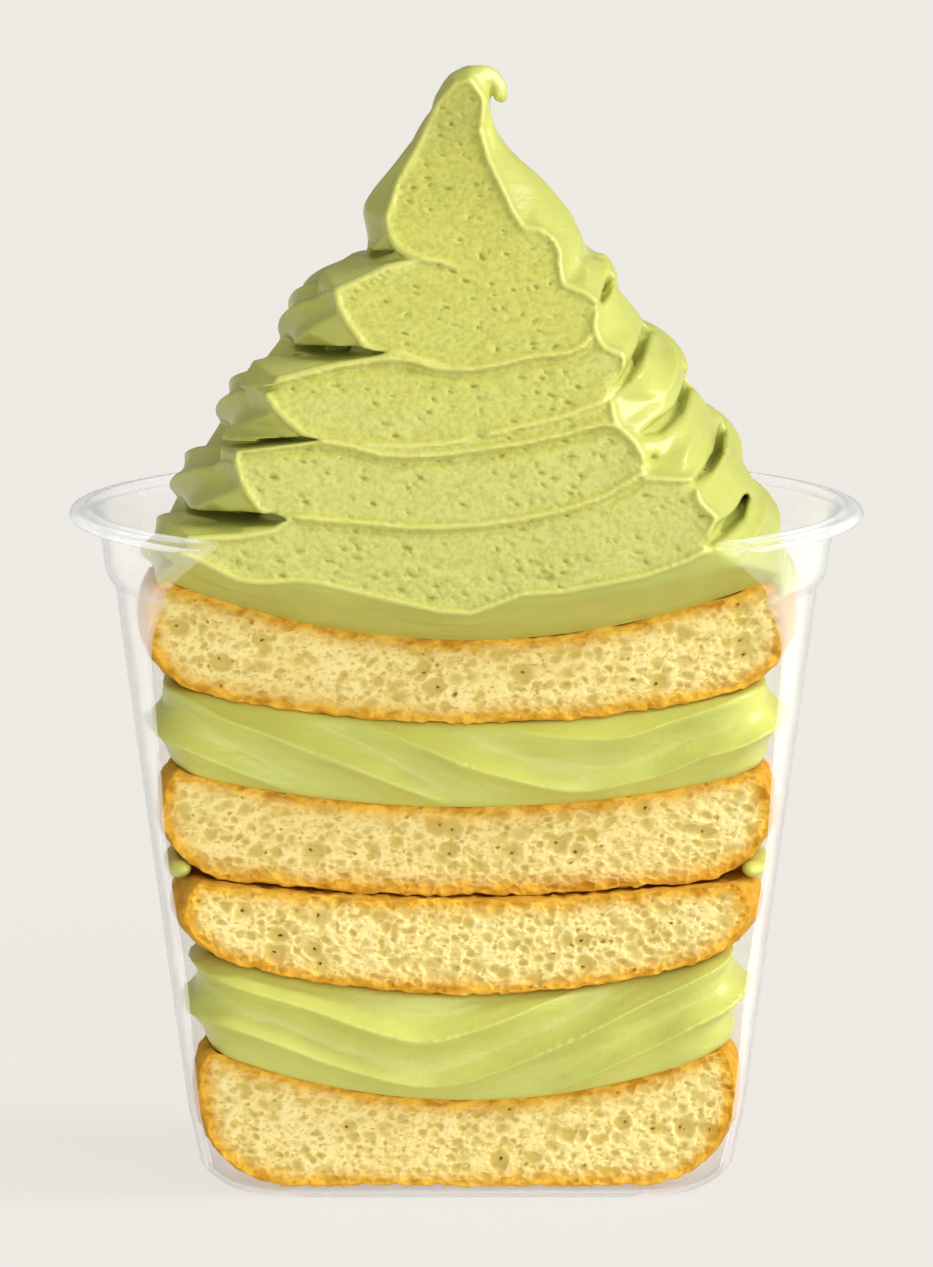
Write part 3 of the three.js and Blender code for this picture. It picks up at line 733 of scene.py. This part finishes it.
ROPE_RADIUS = 6.2
ROPE_FLATTENING = 0.88
ROPE_RIBS = 6
ROPE_FLUTE = 0.22
ROPE_TWIST = 2
COIL_HEIGHT = 79.3
COIL_PITCH = 7.65
COIL_PITCH_GAIN = 0.55
COIL_DROOP = 2.5
FIRST_TURN = -2
LAST_TURN = 4.35
ENDING_TURNS = 0.5
CORE_RADIUS = 4
CONE_RADIUS = 41.2
CONE_FOOT = 76
CONE_REACH = 57
CONE_POWER = 1.39
CLEFT_DEPTH = 5
CLEFT_DEPTH_BEHIND = 1.8
CLEFT_DEPTH_RIGHT = 0.6
SKIRT_HEIGHT = 77
SKIRT_DROP = 8
SKIRT_SQUARENESS = 4
PEAK = [
    ((1.2, 0, 111), 16.2), ((1.2, 0, 117), 15), ((0, 0, 121.5), 12.9), ((-0.6, 0, 126), 9.3),
    ((-1.3, 0, 130), 5.6), ((-0.8, 0, 134), 3.4), ((0.6, 0, 136.8), 2.1), ((2.6, 0, 138.1), 1.2),
    ((4.1, -0.2, 137.3), 0.95), ((4.3, -0.3, 135.7), 0.95),
]
PEAK_STEM = 6
PEAK_STEPS = 12
PEAK_FOOT = 111
PEAK_FLUTE = 0.14
PEAK_FLUTE_RISE = 26
PEAK_TWIST = 2.2
PEAK_REACH_DOWN = 7
COIL_BLEND = 1.2

# A lobe that shows behind the slice on the left, at the peak's foot; its height is on the axis.
LOBE_MIDDLE = (-13, 3, 113.4)
LOBE_REACH = (7.4, 9, 3.4)
LOBE_TILT = 0.12

FACE_DEPTH = 25
FACE_FOOT = 70
FACE_RISE = 64
FACE_POWER = 2.05
FACE_TIP_DEPTH = 2.3
FACE_TURN = 0.18
FACE_TURN_HEIGHTS = (118, 128)
OVERHANG_SLOPE = 0.47
OVERHANG_ROUND = 0.8

# The slice's outline seen from the front, as (x, z) points clockwise from the tip.
SLICE = [
    (0.4, 137.9), (2.2, 135.3), (1.7, 131.7), (2.6, 128.5), (4.3, 125.2), (5.7, 122.3), (7.0, 120.5),
    (9.1, 120.2), (10.6, 119.1), (11.4, 117.7), (11.4, 116.0), (11.8, 113.9), (13.1, 113.4),
    (14.3, 113.0), (16.2, 111.7), (15.8, 110.2), (15.6, 109.1), (16.2, 107.3), (16.9, 106.5),
    (19.0, 105.8), (19.3, 103.4), (17.5, 100.8), (18.0, 98.4), (18.5, 97.3), (20.5, 95.5),
    (21.5, 93.7), (21.5, 91.3), (27.6, 91.0), (28.4, 88.3), (30.4, 86.4), (29.5, 84.6),
    (29.9, 82.9), (26.4, 81.2), (21.5, 79.5), (16.5, 78.5), (11.6, 77.6), (6.7, 77.3), (3.0, 75.9),
    (0.5, 75.0), (-3.2, 75.2), (-8.1, 76.3), (-13.1, 77.5), (-18.0, 78.7), (-20.5, 79.0),
    (-25.2, 78.7), (-27.9, 79.1), (-29.7, 80.0), (-32.8, 81.6), (-35.3, 82.5), (-34.7, 83.9),
    (-27.9, 84.2), (-23.6, 84.9), (-21.5, 86.3), (-24.2, 86.7), (-25.2, 87.6), (-26.4, 89.1),
    (-27.2, 90.7), (-27.9, 92.7), (-27.9, 94.6), (-23.0, 95.1), (-17.9, 95.8), (-19.9, 96.5),
    (-21.7, 97.9), (-23.2, 99.4), (-24.4, 101.1), (-25.4, 102.2), (-20.5, 103.4), (-15.6, 104.6),
    (-9.8, 105.5), (-12.5, 106.7), (-13.3, 107.9), (-14.6, 109.6), (-15.6, 111.4), (-16.0, 113.1),
    (-14.1, 113.9), (-9.8, 115.8), (-5.7, 116.7), (-8.4, 117.9), (-9.4, 119.5), (-9.8, 121.5),
    (-8.4, 125.6), (-5.8, 130.0), (-3.5, 134.8), (-1.4, 137.3),
]
SLICE_REACH = 2.5
FILL_DEPTH = 7
FILL_FLARE = 0.35
FILL_FLARE_DEPTH = 6
FILL_BLEND = 1.5
BEVEL_SLOPE = 0.8
BEVEL_REACH = 8
EDGE_ROUND = 0.5
EDGE_LIP = 0.42
EDGE_LIP_LIFT = 0.6

# Lips across the slice where a coil lies on the next, each with its height over the slice.
LIP_WIDTH = 0.4
LIP_CREST = 1.3
LIP_STEP, LIP_STEP_FADE = 0.4, 2
GROOVE_DEPTH, GROOVE_DROP = 0.6, 0.9
SEAMS = [
    (0.42, [(-25.4, 102.2), (-20.5, 103.4), (-15.6, 104.6), (-10.6, 105.3), (-6.9, 105), (-3.8, 104.1),
            (0.5, 104), (4.2, 104.6), (7.9, 105.5), (12.2, 105.9), (14.1, 106.7), (15.6, 108.1)]),
    (0.22, [(-9.8, 105.9), (-7.5, 105.8), (-5.1, 104.9), (-2.6, 104.6)]),
    (0.42, [(-27.9, 94.6), (-23, 95.1), (-18, 95.6), (-14.3, 95), (-10.6, 94), (-6.9, 93.8), (-3.2, 94),
            (1.7, 94.6), (6.7, 95.3), (11.6, 96.3), (16.5, 97.6), (18.5, 97.3)]),
    (0.2, [(1.7, 96.1), (6.7, 97.3), (11.6, 98.4), (16.5, 100.2), (18, 101.1)]),
    (0.2, [(-13.1, 95.2), (-8.1, 94.9), (-3.2, 95.2), (0.5, 95.8)]),
    (0.34, [(-21.5, 86.6), (-15.6, 86.1), (-10.6, 85.7), (-6.9, 85.3), (-3.2, 85.3), (1.7, 85.6),
            (6.7, 86.3), (11.6, 87.3), (16.5, 88.9), (20.2, 91), (21.5, 91.9)]),
    (0.35, [(-9.8, 119.4), (-8.4, 117.9), (-5.7, 116.9), (-1.7, 116.2)]),
]

# Dark clefts between coils at the slice's ends: the depth of each, and its (x, z, half height).
CLEFT_ROUND_LEFT, CLEFT_ROUND_RIGHT = 0.4, 1.3
CLEFTS = [
    (4, [(-22.1, 105.2, 0.5), (-16.8, 105.5, 0.8), (-13.3, 105.9, 0.7), (-10, 105.8, 0.1)]),
    (3, [(-29.4, 94.6, 0.4), (-25.4, 95, 0.35), (-20.1, 95.7, 0.35), (-18, 95.8, 0.1)]),
    (4.5, [(-35.5, 85.4, 0.4), (-32, 85.7, 0.7), (-27.3, 86.1, 0.9), (-23.5, 86.2, 0.7),
           (-22, 86.3, 0.15)]),
    (2, [(-13.3, 116.9, 0.5), (-11.2, 116.8, 0.5), (-8.6, 117.6, 0.1)]),
    (1.8, [(16.4, 111.3, 0.15), (17, 112.4, 0.4), (17.4, 113.5, 0.3)]),
    (2.4, [(17.3, 100.8, 0.15), (19.3, 102.7, 0.5), (20.9, 104.8, 0.6), (21.8, 106.5, 0.5),
           (22.2, 107.6, 0.4)]),
    (2.6, [(21.5, 96.2, 0.2), (23.3, 96.8, 0.8), (25.8, 98.2, 0.6), (26.9, 100, 0.5),
           (27.3, 101.8, 0.4)]),
    (1.6, [(21.6, 91.8, 0.1), (22.7, 93.3, 0.3)]),
    (2.4, [(27.6, 90.4, 0.1), (29.5, 91.5, 0.5), (30.7, 92.9, 0.5), (31.2, 95, 0.4)]),
    (2.6, [(29.6, 83.2, 0.3), (31.1, 84.6, 0.9), (33.2, 85.6, 0.7), (34.1, 87, 0.4)]),
]
VOXEL = 0.34
GRID_LOW = (-43, -27.5, 68.5)
GRID_HIGH = (43.5, 42.5, 140.5)
TABLE_ANGLES = 1440
TABLE_LOW, TABLE_HIGH, TABLE_STEP = 66, 126, 0.15


def cone_radius(height):
    up = np.clip((height - CONE_FOOT) / CONE_REACH, 0, 1)
    return CONE_RADIUS * (1 - up ** CONE_POWER)


def coil_height(turns):
    droop = COIL_DROOP * np.maximum(0, np.sin(2 * np.pi * turns)) ** 2
    return COIL_HEIGHT + COIL_PITCH * turns + COIL_PITCH_GAIN * turns * turns - droop


def blurred(table, wrap, steps):
    """Softens a table along both of its directions; the first one may wrap round."""
    for _ in range(steps):
        if wrap:
            table = (np.roll(table, 1, 0) + 2 * table + np.roll(table, -1, 0)) / 4
        inner = (table[:, :-2] + 2 * table[:, 1:-1] + table[:, 2:]) / 4
        table = np.concatenate([table[:, :1], inner, table[:, -1:]], 1)
    return table


def rope_reach():
    """How far from the axis the wound rope reaches, against angle and height."""
    angle = np.linspace(0, 2 * np.pi, TABLE_ANGLES, endpoint=False)
    height = np.arange(TABLE_LOW, TABLE_HIGH, TABLE_STEP)
    front = np.clip(0.5 - 4 * np.sin(angle)[:, None], 0, 1)
    right = np.clip(0.5 + 2 * np.cos(angle)[:, None], 0, 1) * front
    cleft = CLEFT_DEPTH_BEHIND + (CLEFT_DEPTH - CLEFT_DEPTH_BEHIND) * front
    table = cone_radius(height) - cleft + (CLEFT_DEPTH - CLEFT_DEPTH_RIGHT) * right
    row = np.arange(TABLE_ANGLES)[:, None]
    around = np.linspace(-0.5, 0.5, 700)[None]
    for winding in range(FIRST_TURN - 1, math.ceil(LAST_TURN) + 2):
        turns = (angle[:, None] - np.pi) / (2 * np.pi) + winding
        middle = coil_height(turns)
        hollow = 1 - flute(ROPE_RIBS * (around / 2 - ROPE_TWIST * turns))
        ribbed = ROPE_RADIUS * (1 - ROPE_FLUTE * hollow)
        ending = np.clip((LAST_TURN - turns) / ENDING_TURNS, 0, 1)
        ending = ending * ending * (3 - 2 * ending)
        reach = (cone_radius(middle) - ROPE_RADIUS + ribbed * np.cos(np.pi * around)) * ending
        z = middle + ribbed * ROPE_FLATTENING * np.sin(np.pi * around)
        column = np.round((z - TABLE_LOW) / TABLE_STEP).astype(int)
        within = (column >= 0) & (column < len(height))
        np.maximum.at(table, (np.broadcast_to(row, column.shape)[within], column[within]), reach[within])
    down = np.clip((SKIRT_HEIGHT - height) / SKIRT_DROP, 0, 0.99)
    skirt = CONE_RADIUS * (1 - down * down) ** (1 / SKIRT_SQUARENESS)
    return blurred(np.maximum(CORE_RADIUS, np.minimum(table, skirt)), True, 2)


reach_table = rope_reach()
reach_slope = np.gradient(reach_table)


def table_at(table, i, j, u, v):
    """A table's values between its points; it wraps round along its first direction."""
    n = TABLE_ANGLES
    return ((table[i % n, j] * (1 - u) + table[(i + 1) % n, j] * u) * (1 - v)
            + (table[i % n, j + 1] * (1 - u) + table[(i + 1) % n, j + 1] * u) * v)


def coils_gap(x, y, z):
    """Signed distance from the wound rope, in millimetres; negative inside."""
    r = np.hypot(x, y)
    a = (np.arctan2(y, x) % (2 * np.pi)) / (2 * np.pi) * TABLE_ANGLES
    h = np.clip((z - TABLE_LOW) / TABLE_STEP, 0, reach_table.shape[1] - 1.001)
    i, j = a.astype(np.int32), h.astype(np.int32)
    u, v = a - i, h - j
    reach = table_at(reach_table, i, j, u, v)
    rise = table_at(reach_slope[1], i, j, u, v) / TABLE_STEP
    turn = table_at(reach_slope[0], i, j, u, v) * TABLE_ANGLES / (2 * np.pi) / np.maximum(r, 5)
    side = (r - reach) / np.sqrt(1 + rise ** 2 + turn ** 2)
    return np.maximum(side, z - coil_height(LAST_TURN - 0.6))


def spine_points(count):
    """The peak's spine as many points with radii, through its named ones."""
    at = np.array([point for point, _ in PEAK], float)
    radius = np.array([radius for _, radius in PEAK], float)
    out = []
    padded = np.concatenate([[2 * at[0] - at[1]], at, [2 * at[-1] - at[-2]]])
    for i in range(len(at) - 1):
        p0, p1, p2, p3 = padded[i:i + 4]
        for t in np.linspace(0, 1, count, endpoint=False):
            place = 0.5 * (2 * p1 + (p2 - p0) * t + (2 * p0 - 5 * p1 + 4 * p2 - p3) * t ** 2
                           + (3 * p1 - p0 - 3 * p2 + p3) * t ** 3)
            out.append((*place, radius[i] + (radius[i + 1] - radius[i]) * t))
    out.append((*at[-1], radius[-1]))
    return np.array(out)


def peak_gap(x, y, z):
    """Signed distance from the peak: rings up its stem, and round beads along its hook."""
    gap = np.full(np.broadcast(x, y, z).shape, 1e3, np.float32)
    near = np.broadcast_to(z, gap.shape) > PEAK_FOOT - PEAK_REACH_DOWN
    px, py, pz = [np.broadcast_to(c, gap.shape)[near] for c in (x, y, z)]
    spine = spine_points(PEAK_STEPS)
    stem = spine[:PEAK_STEM * PEAK_STEPS + 1]
    middle_x, middle_y, ring = [np.interp(pz, stem[:, 2], stem[:, k]) for k in (0, 1, 3)]
    slope = np.gradient(stem[:, 3], stem[:, 2])
    turn = np.arctan2(py - middle_y, px - middle_x) / (2 * np.pi)
    share = np.clip((pz - PEAK_FOOT) / PEAK_FLUTE_RISE, 0, 1)
    hollow = 1 - flute(ROPE_RIBS * (turn - PEAK_TWIST * share / (2 * np.pi)))
    ridge = 1 - PEAK_FLUTE * (1 - share) * hollow
    side = np.hypot(px - middle_x, py - middle_y) - ring * ridge
    side /= np.sqrt(1 + np.interp(pz, stem[:, 2], slope) ** 2)
    best = np.maximum(np.maximum(side, PEAK_FOOT - pz), pz - stem[-1, 2])
    for cx, cy, cz, radius in spine[(PEAK_STEM - 1) * PEAK_STEPS:]:
        best = np.minimum(best, np.sqrt((px - cx) ** 2 + (py - cy) ** 2 + (pz - cz) ** 2) - radius)
    gap[near] = best
    return gap


def smooth_union(a, b, width):
    """The gap to what lies inside either, with the corner between them filled over a width."""
    mix = np.clip(0.5 + 0.5 * (b - a) / width, 0, 1)
    return b + (a - b) * mix - width * mix * (1 - mix)


def smooth_max(a, b, width):
    """The gap to what lies inside both, with the edge between them rounded over a width."""
    return -smooth_union(-a, -b, width)


def from_edge(x, z, start, end):
    """How far points lie from a straight edge, and the nearest place's share of its length."""
    (ax, az), (bx, bz) = start, end
    dx, dz = bx - ax, bz - az
    t = np.clip(((x - ax) * dx + (z - az) * dz) / (dx * dx + dz * dz), 0, 1)
    return np.hypot(x - ax - t * dx, z - az - t * dz), t


def slice_table():
    """Signed distance to the slice's outline, on a raster of x and z; negative inside."""
    table = Relief((-44, 68), (44, 141))
    x, z = [table.low[k] + RASTER * np.arange(table.depth.shape[k]) for k in (0, 1)]
    x, z = x[:, None], z[None]
    near = np.full(table.depth.shape, 1e3)
    inside = np.zeros(table.depth.shape, bool)
    for start, end in zip(SLICE, SLICE[1:] + SLICE[:1]):
        near = np.minimum(near, from_edge(x, z, start, end)[0])
        (ax, az), (bx, bz) = start, end
        if az != bz:
            inside ^= ((az > z) != (bz > z)) & (x < ax + (z - az) * (bx - ax) / (bz - az))
    table.depth = blurred(blurred(np.where(inside, -near, near), False, 3).T, False, 3).T
    return table


slice_outline = slice_table()


def slice_gap(x, z):
    """Distance across the front from the slice's outline; negative inside."""
    x, z = np.broadcast_arrays(x, z)
    return slice_outline.at(x.ravel(), z.ravel()).reshape(x.shape)


def face_depth(x, z):
    """How far in front of the axis the knife passed."""
    up = np.clip((z - FACE_FOOT) / FACE_RISE, 0, 1)
    depth = smooth_max(FACE_DEPTH * (1 - up ** FACE_POWER), FACE_TIP_DEPTH, 1.5)
    low, high = FACE_TURN_HEIGHTS
    share = np.clip((z - low) / (high - low), 0, 1)
    return depth + FACE_TURN * x * share * share * (3 - 2 * share)


def outside_gap(x, y, z):
    """Signed distance from the swirl as it was before it was sliced."""
    whole = smooth_union(coils_gap(x, y, z), peak_gap(x, y, z), COIL_BLEND)
    mx, my, mz = LOBE_MIDDLE
    rx, ry, rz = LOBE_REACH
    lobe = np.sqrt(((x - mx) / rx) ** 2 + ((y - my) / ry) ** 2 + ((z - mz - LOBE_TILT * x) / rz) ** 2) - 1
    whole = smooth_union(whole, rz * lobe, COIL_BLEND)
    top = SPONGES[3]
    r = np.hypot(x, y)
    seat = sponge_high(top, np.minimum(r, top["radius"])) - CREAM_SINK
    whole = np.maximum(whole, np.where(r < top["radius"] + 3, seat - z, -1e3))
    front = top["cut"] + GAP
    crown = top["high"] - CREAM_SINK + top["high_sag"] * (x * x + front * front)
    under = (crown + OVERHANG_SLOPE * (-y - front) - z) / math.hypot(1, OVERHANG_SLOPE)
    return np.where(-y > front, smooth_max(whole, under, OVERHANG_ROUND), whole)


def face_gap(x, y, z):
    """Signed distance from the knife's face; negative behind it."""
    up = np.clip((z - FACE_FOOT) / FACE_RISE, 0, 1)
    slope = FACE_DEPTH * FACE_POWER / FACE_RISE * up ** (FACE_POWER - 1)
    return (-y - face_depth(x, z)) / np.sqrt(1 + slope ** 2)


def cleft_gap(line, x, z):
    """Distance across the front from a cleft's line, less its half height there."""
    best = 1e3
    for (*start, half), (*end, next_half) in zip(line, line[1:]):
        distance, t = from_edge(x, z, start, end)
        best = np.minimum(best, distance - half - t * (next_half - half))
    return best


def swirl_gap(x, y, z):
    """Signed distance from the swirl: filled out to the slice's outline, sliced, and cleft."""
    outside = outside_gap(x, y, z)
    face = face_gap(x, y, z)
    edge = slice_gap(x, z)
    behind = np.clip(-face, 0, FILL_FLARE_DEPTH)
    filled = np.maximum(edge - FILL_FLARE * behind, -face - FILL_DEPTH)
    filled = np.maximum(filled, np.hypot(x, y) - cone_radius(z) - SLICE_REACH)
    body = smooth_union(outside, filled, FILL_BLEND)
    face = face + BEVEL_SLOPE * np.clip(edge, 0, BEVEL_REACH)
    sliced = smooth_max(body, face, EDGE_ROUND)
    lip = np.maximum(np.hypot(edge, face) - EDGE_LIP, body - EDGE_LIP_LIFT)
    sliced = smooth_union(sliced, lip, EDGE_ROUND)
    for depth, line in CLEFTS:
        cleft = np.maximum(cleft_gap(line, x, z), -body - depth)
        cleft = np.where(y < 0, cleft, 1e3)
        width = CLEFT_ROUND_LEFT if line[0][0] < 0 else CLEFT_ROUND_RIGHT
        sliced = smooth_max(sliced, -cleft, width)
    return sliced


def seam_relief(x, z):
    """How far the seams stand out of the slice, and where their lips are, from 0 to 1.

    Each has a lip with a groove under it, and a low step over it that fades upwards.
    """
    out = np.zeros_like(x)
    lips = np.zeros_like(x)
    for height, line in SEAMS:
        at = np.array(line)
        rise = np.gradient(at[:, 1], at[:, 0])
        up = (z - np.interp(x, at[:, 0], at[:, 1])) / np.hypot(1, np.interp(x, at[:, 0], rise))
        ends = np.clip(np.minimum(x - at[0, 0], at[-1, 0] - x) / 1.5 + 0.3, 0, 1)
        lip = LIP_CREST * np.exp(-(up / LIP_WIDTH) ** 2)
        groove = GROOVE_DEPTH * np.exp(-((up + GROOVE_DROP) / LIP_WIDTH) ** 2)
        step = LIP_STEP * np.exp(-np.maximum(up, 0) / LIP_STEP_FADE) * (up > 0)
        out += height * ends * (lip - groove + step)
        lips = np.maximum(lips, ends * np.exp(-((up - 0.1) / 0.36) ** 2))
    return out, lips


def surface_of(gap, low, high, step):
    """Points and triangles on the surface where a gap function is zero, one point to a cell."""
    shape = np.ceil((np.array(high) - low) / step).astype(int) + 1
    axes = [low[k] + step * np.arange(shape[k]) for k in range(3)]
    field = np.empty(shape, np.float32)
    x, y = np.meshgrid(axes[0], axes[1], indexing="ij")
    slab = 12
    for first in range(0, shape[2], slab):
        z = axes[2][first:first + slab]
        field[:, :, first:first + slab] = gap(x[..., None], y[..., None], z)
    field[0], field[-1] = 1, 1
    field[:, 0], field[:, -1] = 1, 1
    field[:, :, 0], field[:, :, -1] = 1, 1
    inside = field < 0
    count = sum(inside[i:shape[0] - 1 + i, j:shape[1] - 1 + j, k:shape[2] - 1 + k].astype(np.int8)
                for i, j, k in np.ndindex(2, 2, 2))
    cells = np.argwhere((count > 0) & (count < 8))
    corners = np.array(list(np.ndindex(2, 2, 2)))
    values = np.stack([field[tuple((cells + corner).T)] for corner in corners], -1)
    total = np.zeros((len(cells), 3))
    crossings = np.zeros(len(cells))
    for a in range(8):
        for b in range(a + 1, 8):
            if np.abs(corners[a] - corners[b]).sum() != 1:
                continue
            va, vb = values[:, a], values[:, b]
            crossed = (va < 0) != (vb < 0)
            share = np.where(crossed, va / np.where(crossed, va - vb, 1), 0)
            total += np.where(crossed[:, None], corners[a] + share[:, None] * (corners[b] - corners[a]), 0)
            crossings += crossed
    points = low + step * (cells + total / crossings[:, None])
    number = np.full(np.array(shape) - 1, -1, np.int32)
    number[tuple(cells.T)] = np.arange(len(cells))
    triangles = []
    for axis in range(3):
        u, v = (axis + 1) % 3, (axis + 2) % 3
        here = inside.take(range(shape[axis] - 1), axis)
        there = inside.take(range(1, shape[axis]), axis)
        for going_in in (False, True):
            edges = np.argwhere((~here & there) if going_in else (here & ~there))
            edges = edges[(edges[:, u] > 0) & (edges[:, v] > 0)]
            near_u, near_v = np.eye(3, dtype=int)[u], np.eye(3, dtype=int)[v]
            quad = [number[tuple((edges - du * near_u - dv * near_v).T)]
                    for du, dv in ((1, 1), (0, 1), (0, 0), (1, 0))]
            if going_in:
                quad.reverse()
            a, b, c, d = quad
            triangles += [np.stack([a, b, c], -1), np.stack([a, c, d], -1)]
    return points, np.concatenate(triangles)


def largest_shell(points, triangles):
    """Keeps the shell with the most points: small hollows are filled, and scraps dropped."""
    label = np.arange(len(points))
    while True:
        least = label[triangles].min(1)
        new = label.copy()
        for k in range(3):
            np.minimum.at(new, triangles[:, k], least)
        new = new[new]
        if (new == label).all():
            break
        label = new
    most = np.bincount(label).argmax()
    kept = label == most
    order = np.cumsum(kept) - 1
    return points[kept], order[triangles[kept[triangles[:, 0]]]]


def soft_serve():
    """The cream's own skin, with a grainy, pitted slice whose pits are darkened as painted shade, and a
    painted highlight along its lips.
    """
    paint = cream_nodes("soft_serve", (0.515, 0.535, 0.12), 0.35)
    skin = paint.shader.inputs["Base Color"].links[0].from_socket
    sliced = paint.attribute("sliced")
    pit_shade = paint.attribute("pit_shade")
    grain = paint.noise(1500, 5)
    face = paint.ramp(grain, (0.32, (0.45, 0.45, 0.085)), (0.6, (0.56, 0.56, 0.125)))
    # Painted shade: the depth of the dents on the slice darkens them.
    face = paint.mix(paint.ramp(pit_shade, (0.3, 0.0), (0.9, 0.75)), face, (0.30, 0.28, 0.035))
    both = paint.mix(sliced, skin, face)
    # Painted highlight: the lip mask lightens the colour along the seams' lips and round the slice's
    # outline.
    lip = paint.ramp(paint.attribute("lip"), (0.3, 0.0), (0.95, 0.6))
    paint.feed(paint.mix(lip, both, (0.70, 0.68, 0.21)), "Base Color")
    return paint.material


def swirl():
    step = VOXEL
    shells = surface_of(swirl_gap, np.array(GRID_LOW), np.array(GRID_HIGH), step)
    points, triangles = largest_shell(*shells)
    x, y, z = points.T
    sliced = np.clip(-slice_gap(x, z) / 0.5, 0, 1) * np.clip((face_gap(x, y, z) + 0.9) / 0.5, 0, 1)

    rng = np.random.default_rng(7)
    relief = Relief((-40, 72), (40, 139))
    relief.dents(rng, 500, radius=(0.6, 1.6), depth=(0.02, 0.06), stretch=2.6)
    relief.dents(rng, 1500, radius=(0.16, 0.34), depth=(0.14, 0.42), stretch=2.6)
    depth = relief.at(x, z) + 0.03 * noise(points * (1, 1, 1.8), 1.1, 8)
    swell = 0.12 * noise(points * (0.6, 1, 1.4), 4.5, 9)
    seams, lips = seam_relief(x, z)
    points[:, 1] += (depth * (1 - lips) + swell - seams) * sliced
    # The lips' mask, along the seams and round the slice's outline, goes to the paint as a painted
    # highlight.
    edge = np.exp(-(slice_gap(x, z) / 0.4) ** 2) * np.clip((face_gap(x, y, z) + 1.2) / 0.6, 0, 1)
    lips = np.maximum(lips * sliced, edge)
    piece = mesh_object("soft_serve_swirl", points, triangles)
    add_attribute(piece, "sliced", sliced)
    # The dents' depth on the slice, which the paint darkens as painted shade.
    add_attribute(piece, "pit_shade", np.clip(depth * 3, 0, 1) * sliced * (1 - lips))
    add_attribute(piece, "lip", lips)
    finish_piece(piece, "swirl", soft_serve())


swirl()

# ---- Table, light and camera --------------------------------------------------------------
# A pale light table, wider than the view and lit from below, in a soft room. A large lamp stands
# high on the right, and a weaker one low in front. Two more light the clear cup alone.

TABLE_HALF = 12.0
SENSOR = 24
CAMERA_TILT = 8.1
CAMERA_DISTANCE = 1.6
VIEW_HEIGHT = 0.15639
VIEW_MIDDLE = 0.06895
ROOM_LIGHT = 0.36


def table_top():
    corners = [(x * TABLE_HALF, y * TABLE_HALF, 0) for x, y in ((-1, -1), (1, -1), (1, 1), (-1, 1))]
    mesh = bpy.data.meshes.new("table_top")
    mesh.from_pydata(corners, [], [(0, 1, 2, 3)])
    piece = added("table_top", mesh)
    paint = Paint("pale_table")
    tint = paint.ramp(paint.noise(3, 2), (0.3, (0.10, 0.097, 0.092)), (0.7, (0.11, 0.107, 0.102)))
    paint.feed(tint, "Base Color")
    paint.set(Roughness=0.9, Specular_IOR_Level=0.1, Emission_Color=(0.84, 0.81, 0.77, 1),
              Emission_Strength=0.87)
    mesh.materials.append(paint.material)


def soft_room():
    world = bpy.data.worlds.new("soft_room")
    bpy.context.scene.world = world
    world.use_nodes = True
    background = world.node_tree.nodes["Background"]
    background.inputs["Color"].default_value = (1.0, 0.98, 0.84, 1)
    background.inputs["Strength"].default_value = ROOM_LIGHT


def lamp(name, towards, strength, spread, colour=(1, 1, 1)):
    """A far, wide lamp; towards is the direction in which it stands."""
    light = bpy.data.lights.new(name, "SUN")
    light.energy = strength
    light.angle = math.radians(spread)
    light.color = colour
    piece = added(name, light)
    piece.rotation_euler = Vector(towards).to_track_quat("Z", "Y").to_euler()
    return piece


def cup_lamp(name, towards, strength, spread, colour):
    """A lamp whose light falls on the clear cup alone, to bring out its haze."""
    piece = lamp(name, towards, strength, spread, colour)
    lit = bpy.data.collections.new(name + "_lit")
    lit.objects.link(bpy.data.objects["clear_cup"])
    piece.light_linking.receiver_collection = lit


def photo_camera():
    camera = bpy.data.cameras.new("camera")
    camera.sensor_fit = "VERTICAL"
    camera.sensor_height = SENSOR
    camera.lens = SENSOR * CAMERA_DISTANCE / VIEW_HEIGHT
    camera.clip_end = 60
    piece = added("camera", camera)
    tilt = math.radians(CAMERA_TILT)
    back, up = CAMERA_DISTANCE * math.cos(tilt), CAMERA_DISTANCE * math.sin(tilt)
    piece.location = (0, -back, VIEW_MIDDLE + up)
    piece.rotation_euler = (math.pi / 2 - tilt, 0, 0)
    bpy.context.scene.camera = piece


table_top()
soft_room()
lamp("side_lamp", (0.8, -0.15, 0.58), 3.1, 30)
lamp("front_lamp", (0.2, -0.95, 0.2), 1.7, 50)
cup_lamp("cup_lamp_left", (-0.5, -0.85, 0.3), 4.6, 60, (0.9, 0.95, 1))
cup_lamp("cup_lamp_right", (0.5, -0.85, 0.3), 2.2, 60, (0.86, 0.93, 1))
photo_camera()
bpy.context.scene.view_settings.view_transform = "Standard"
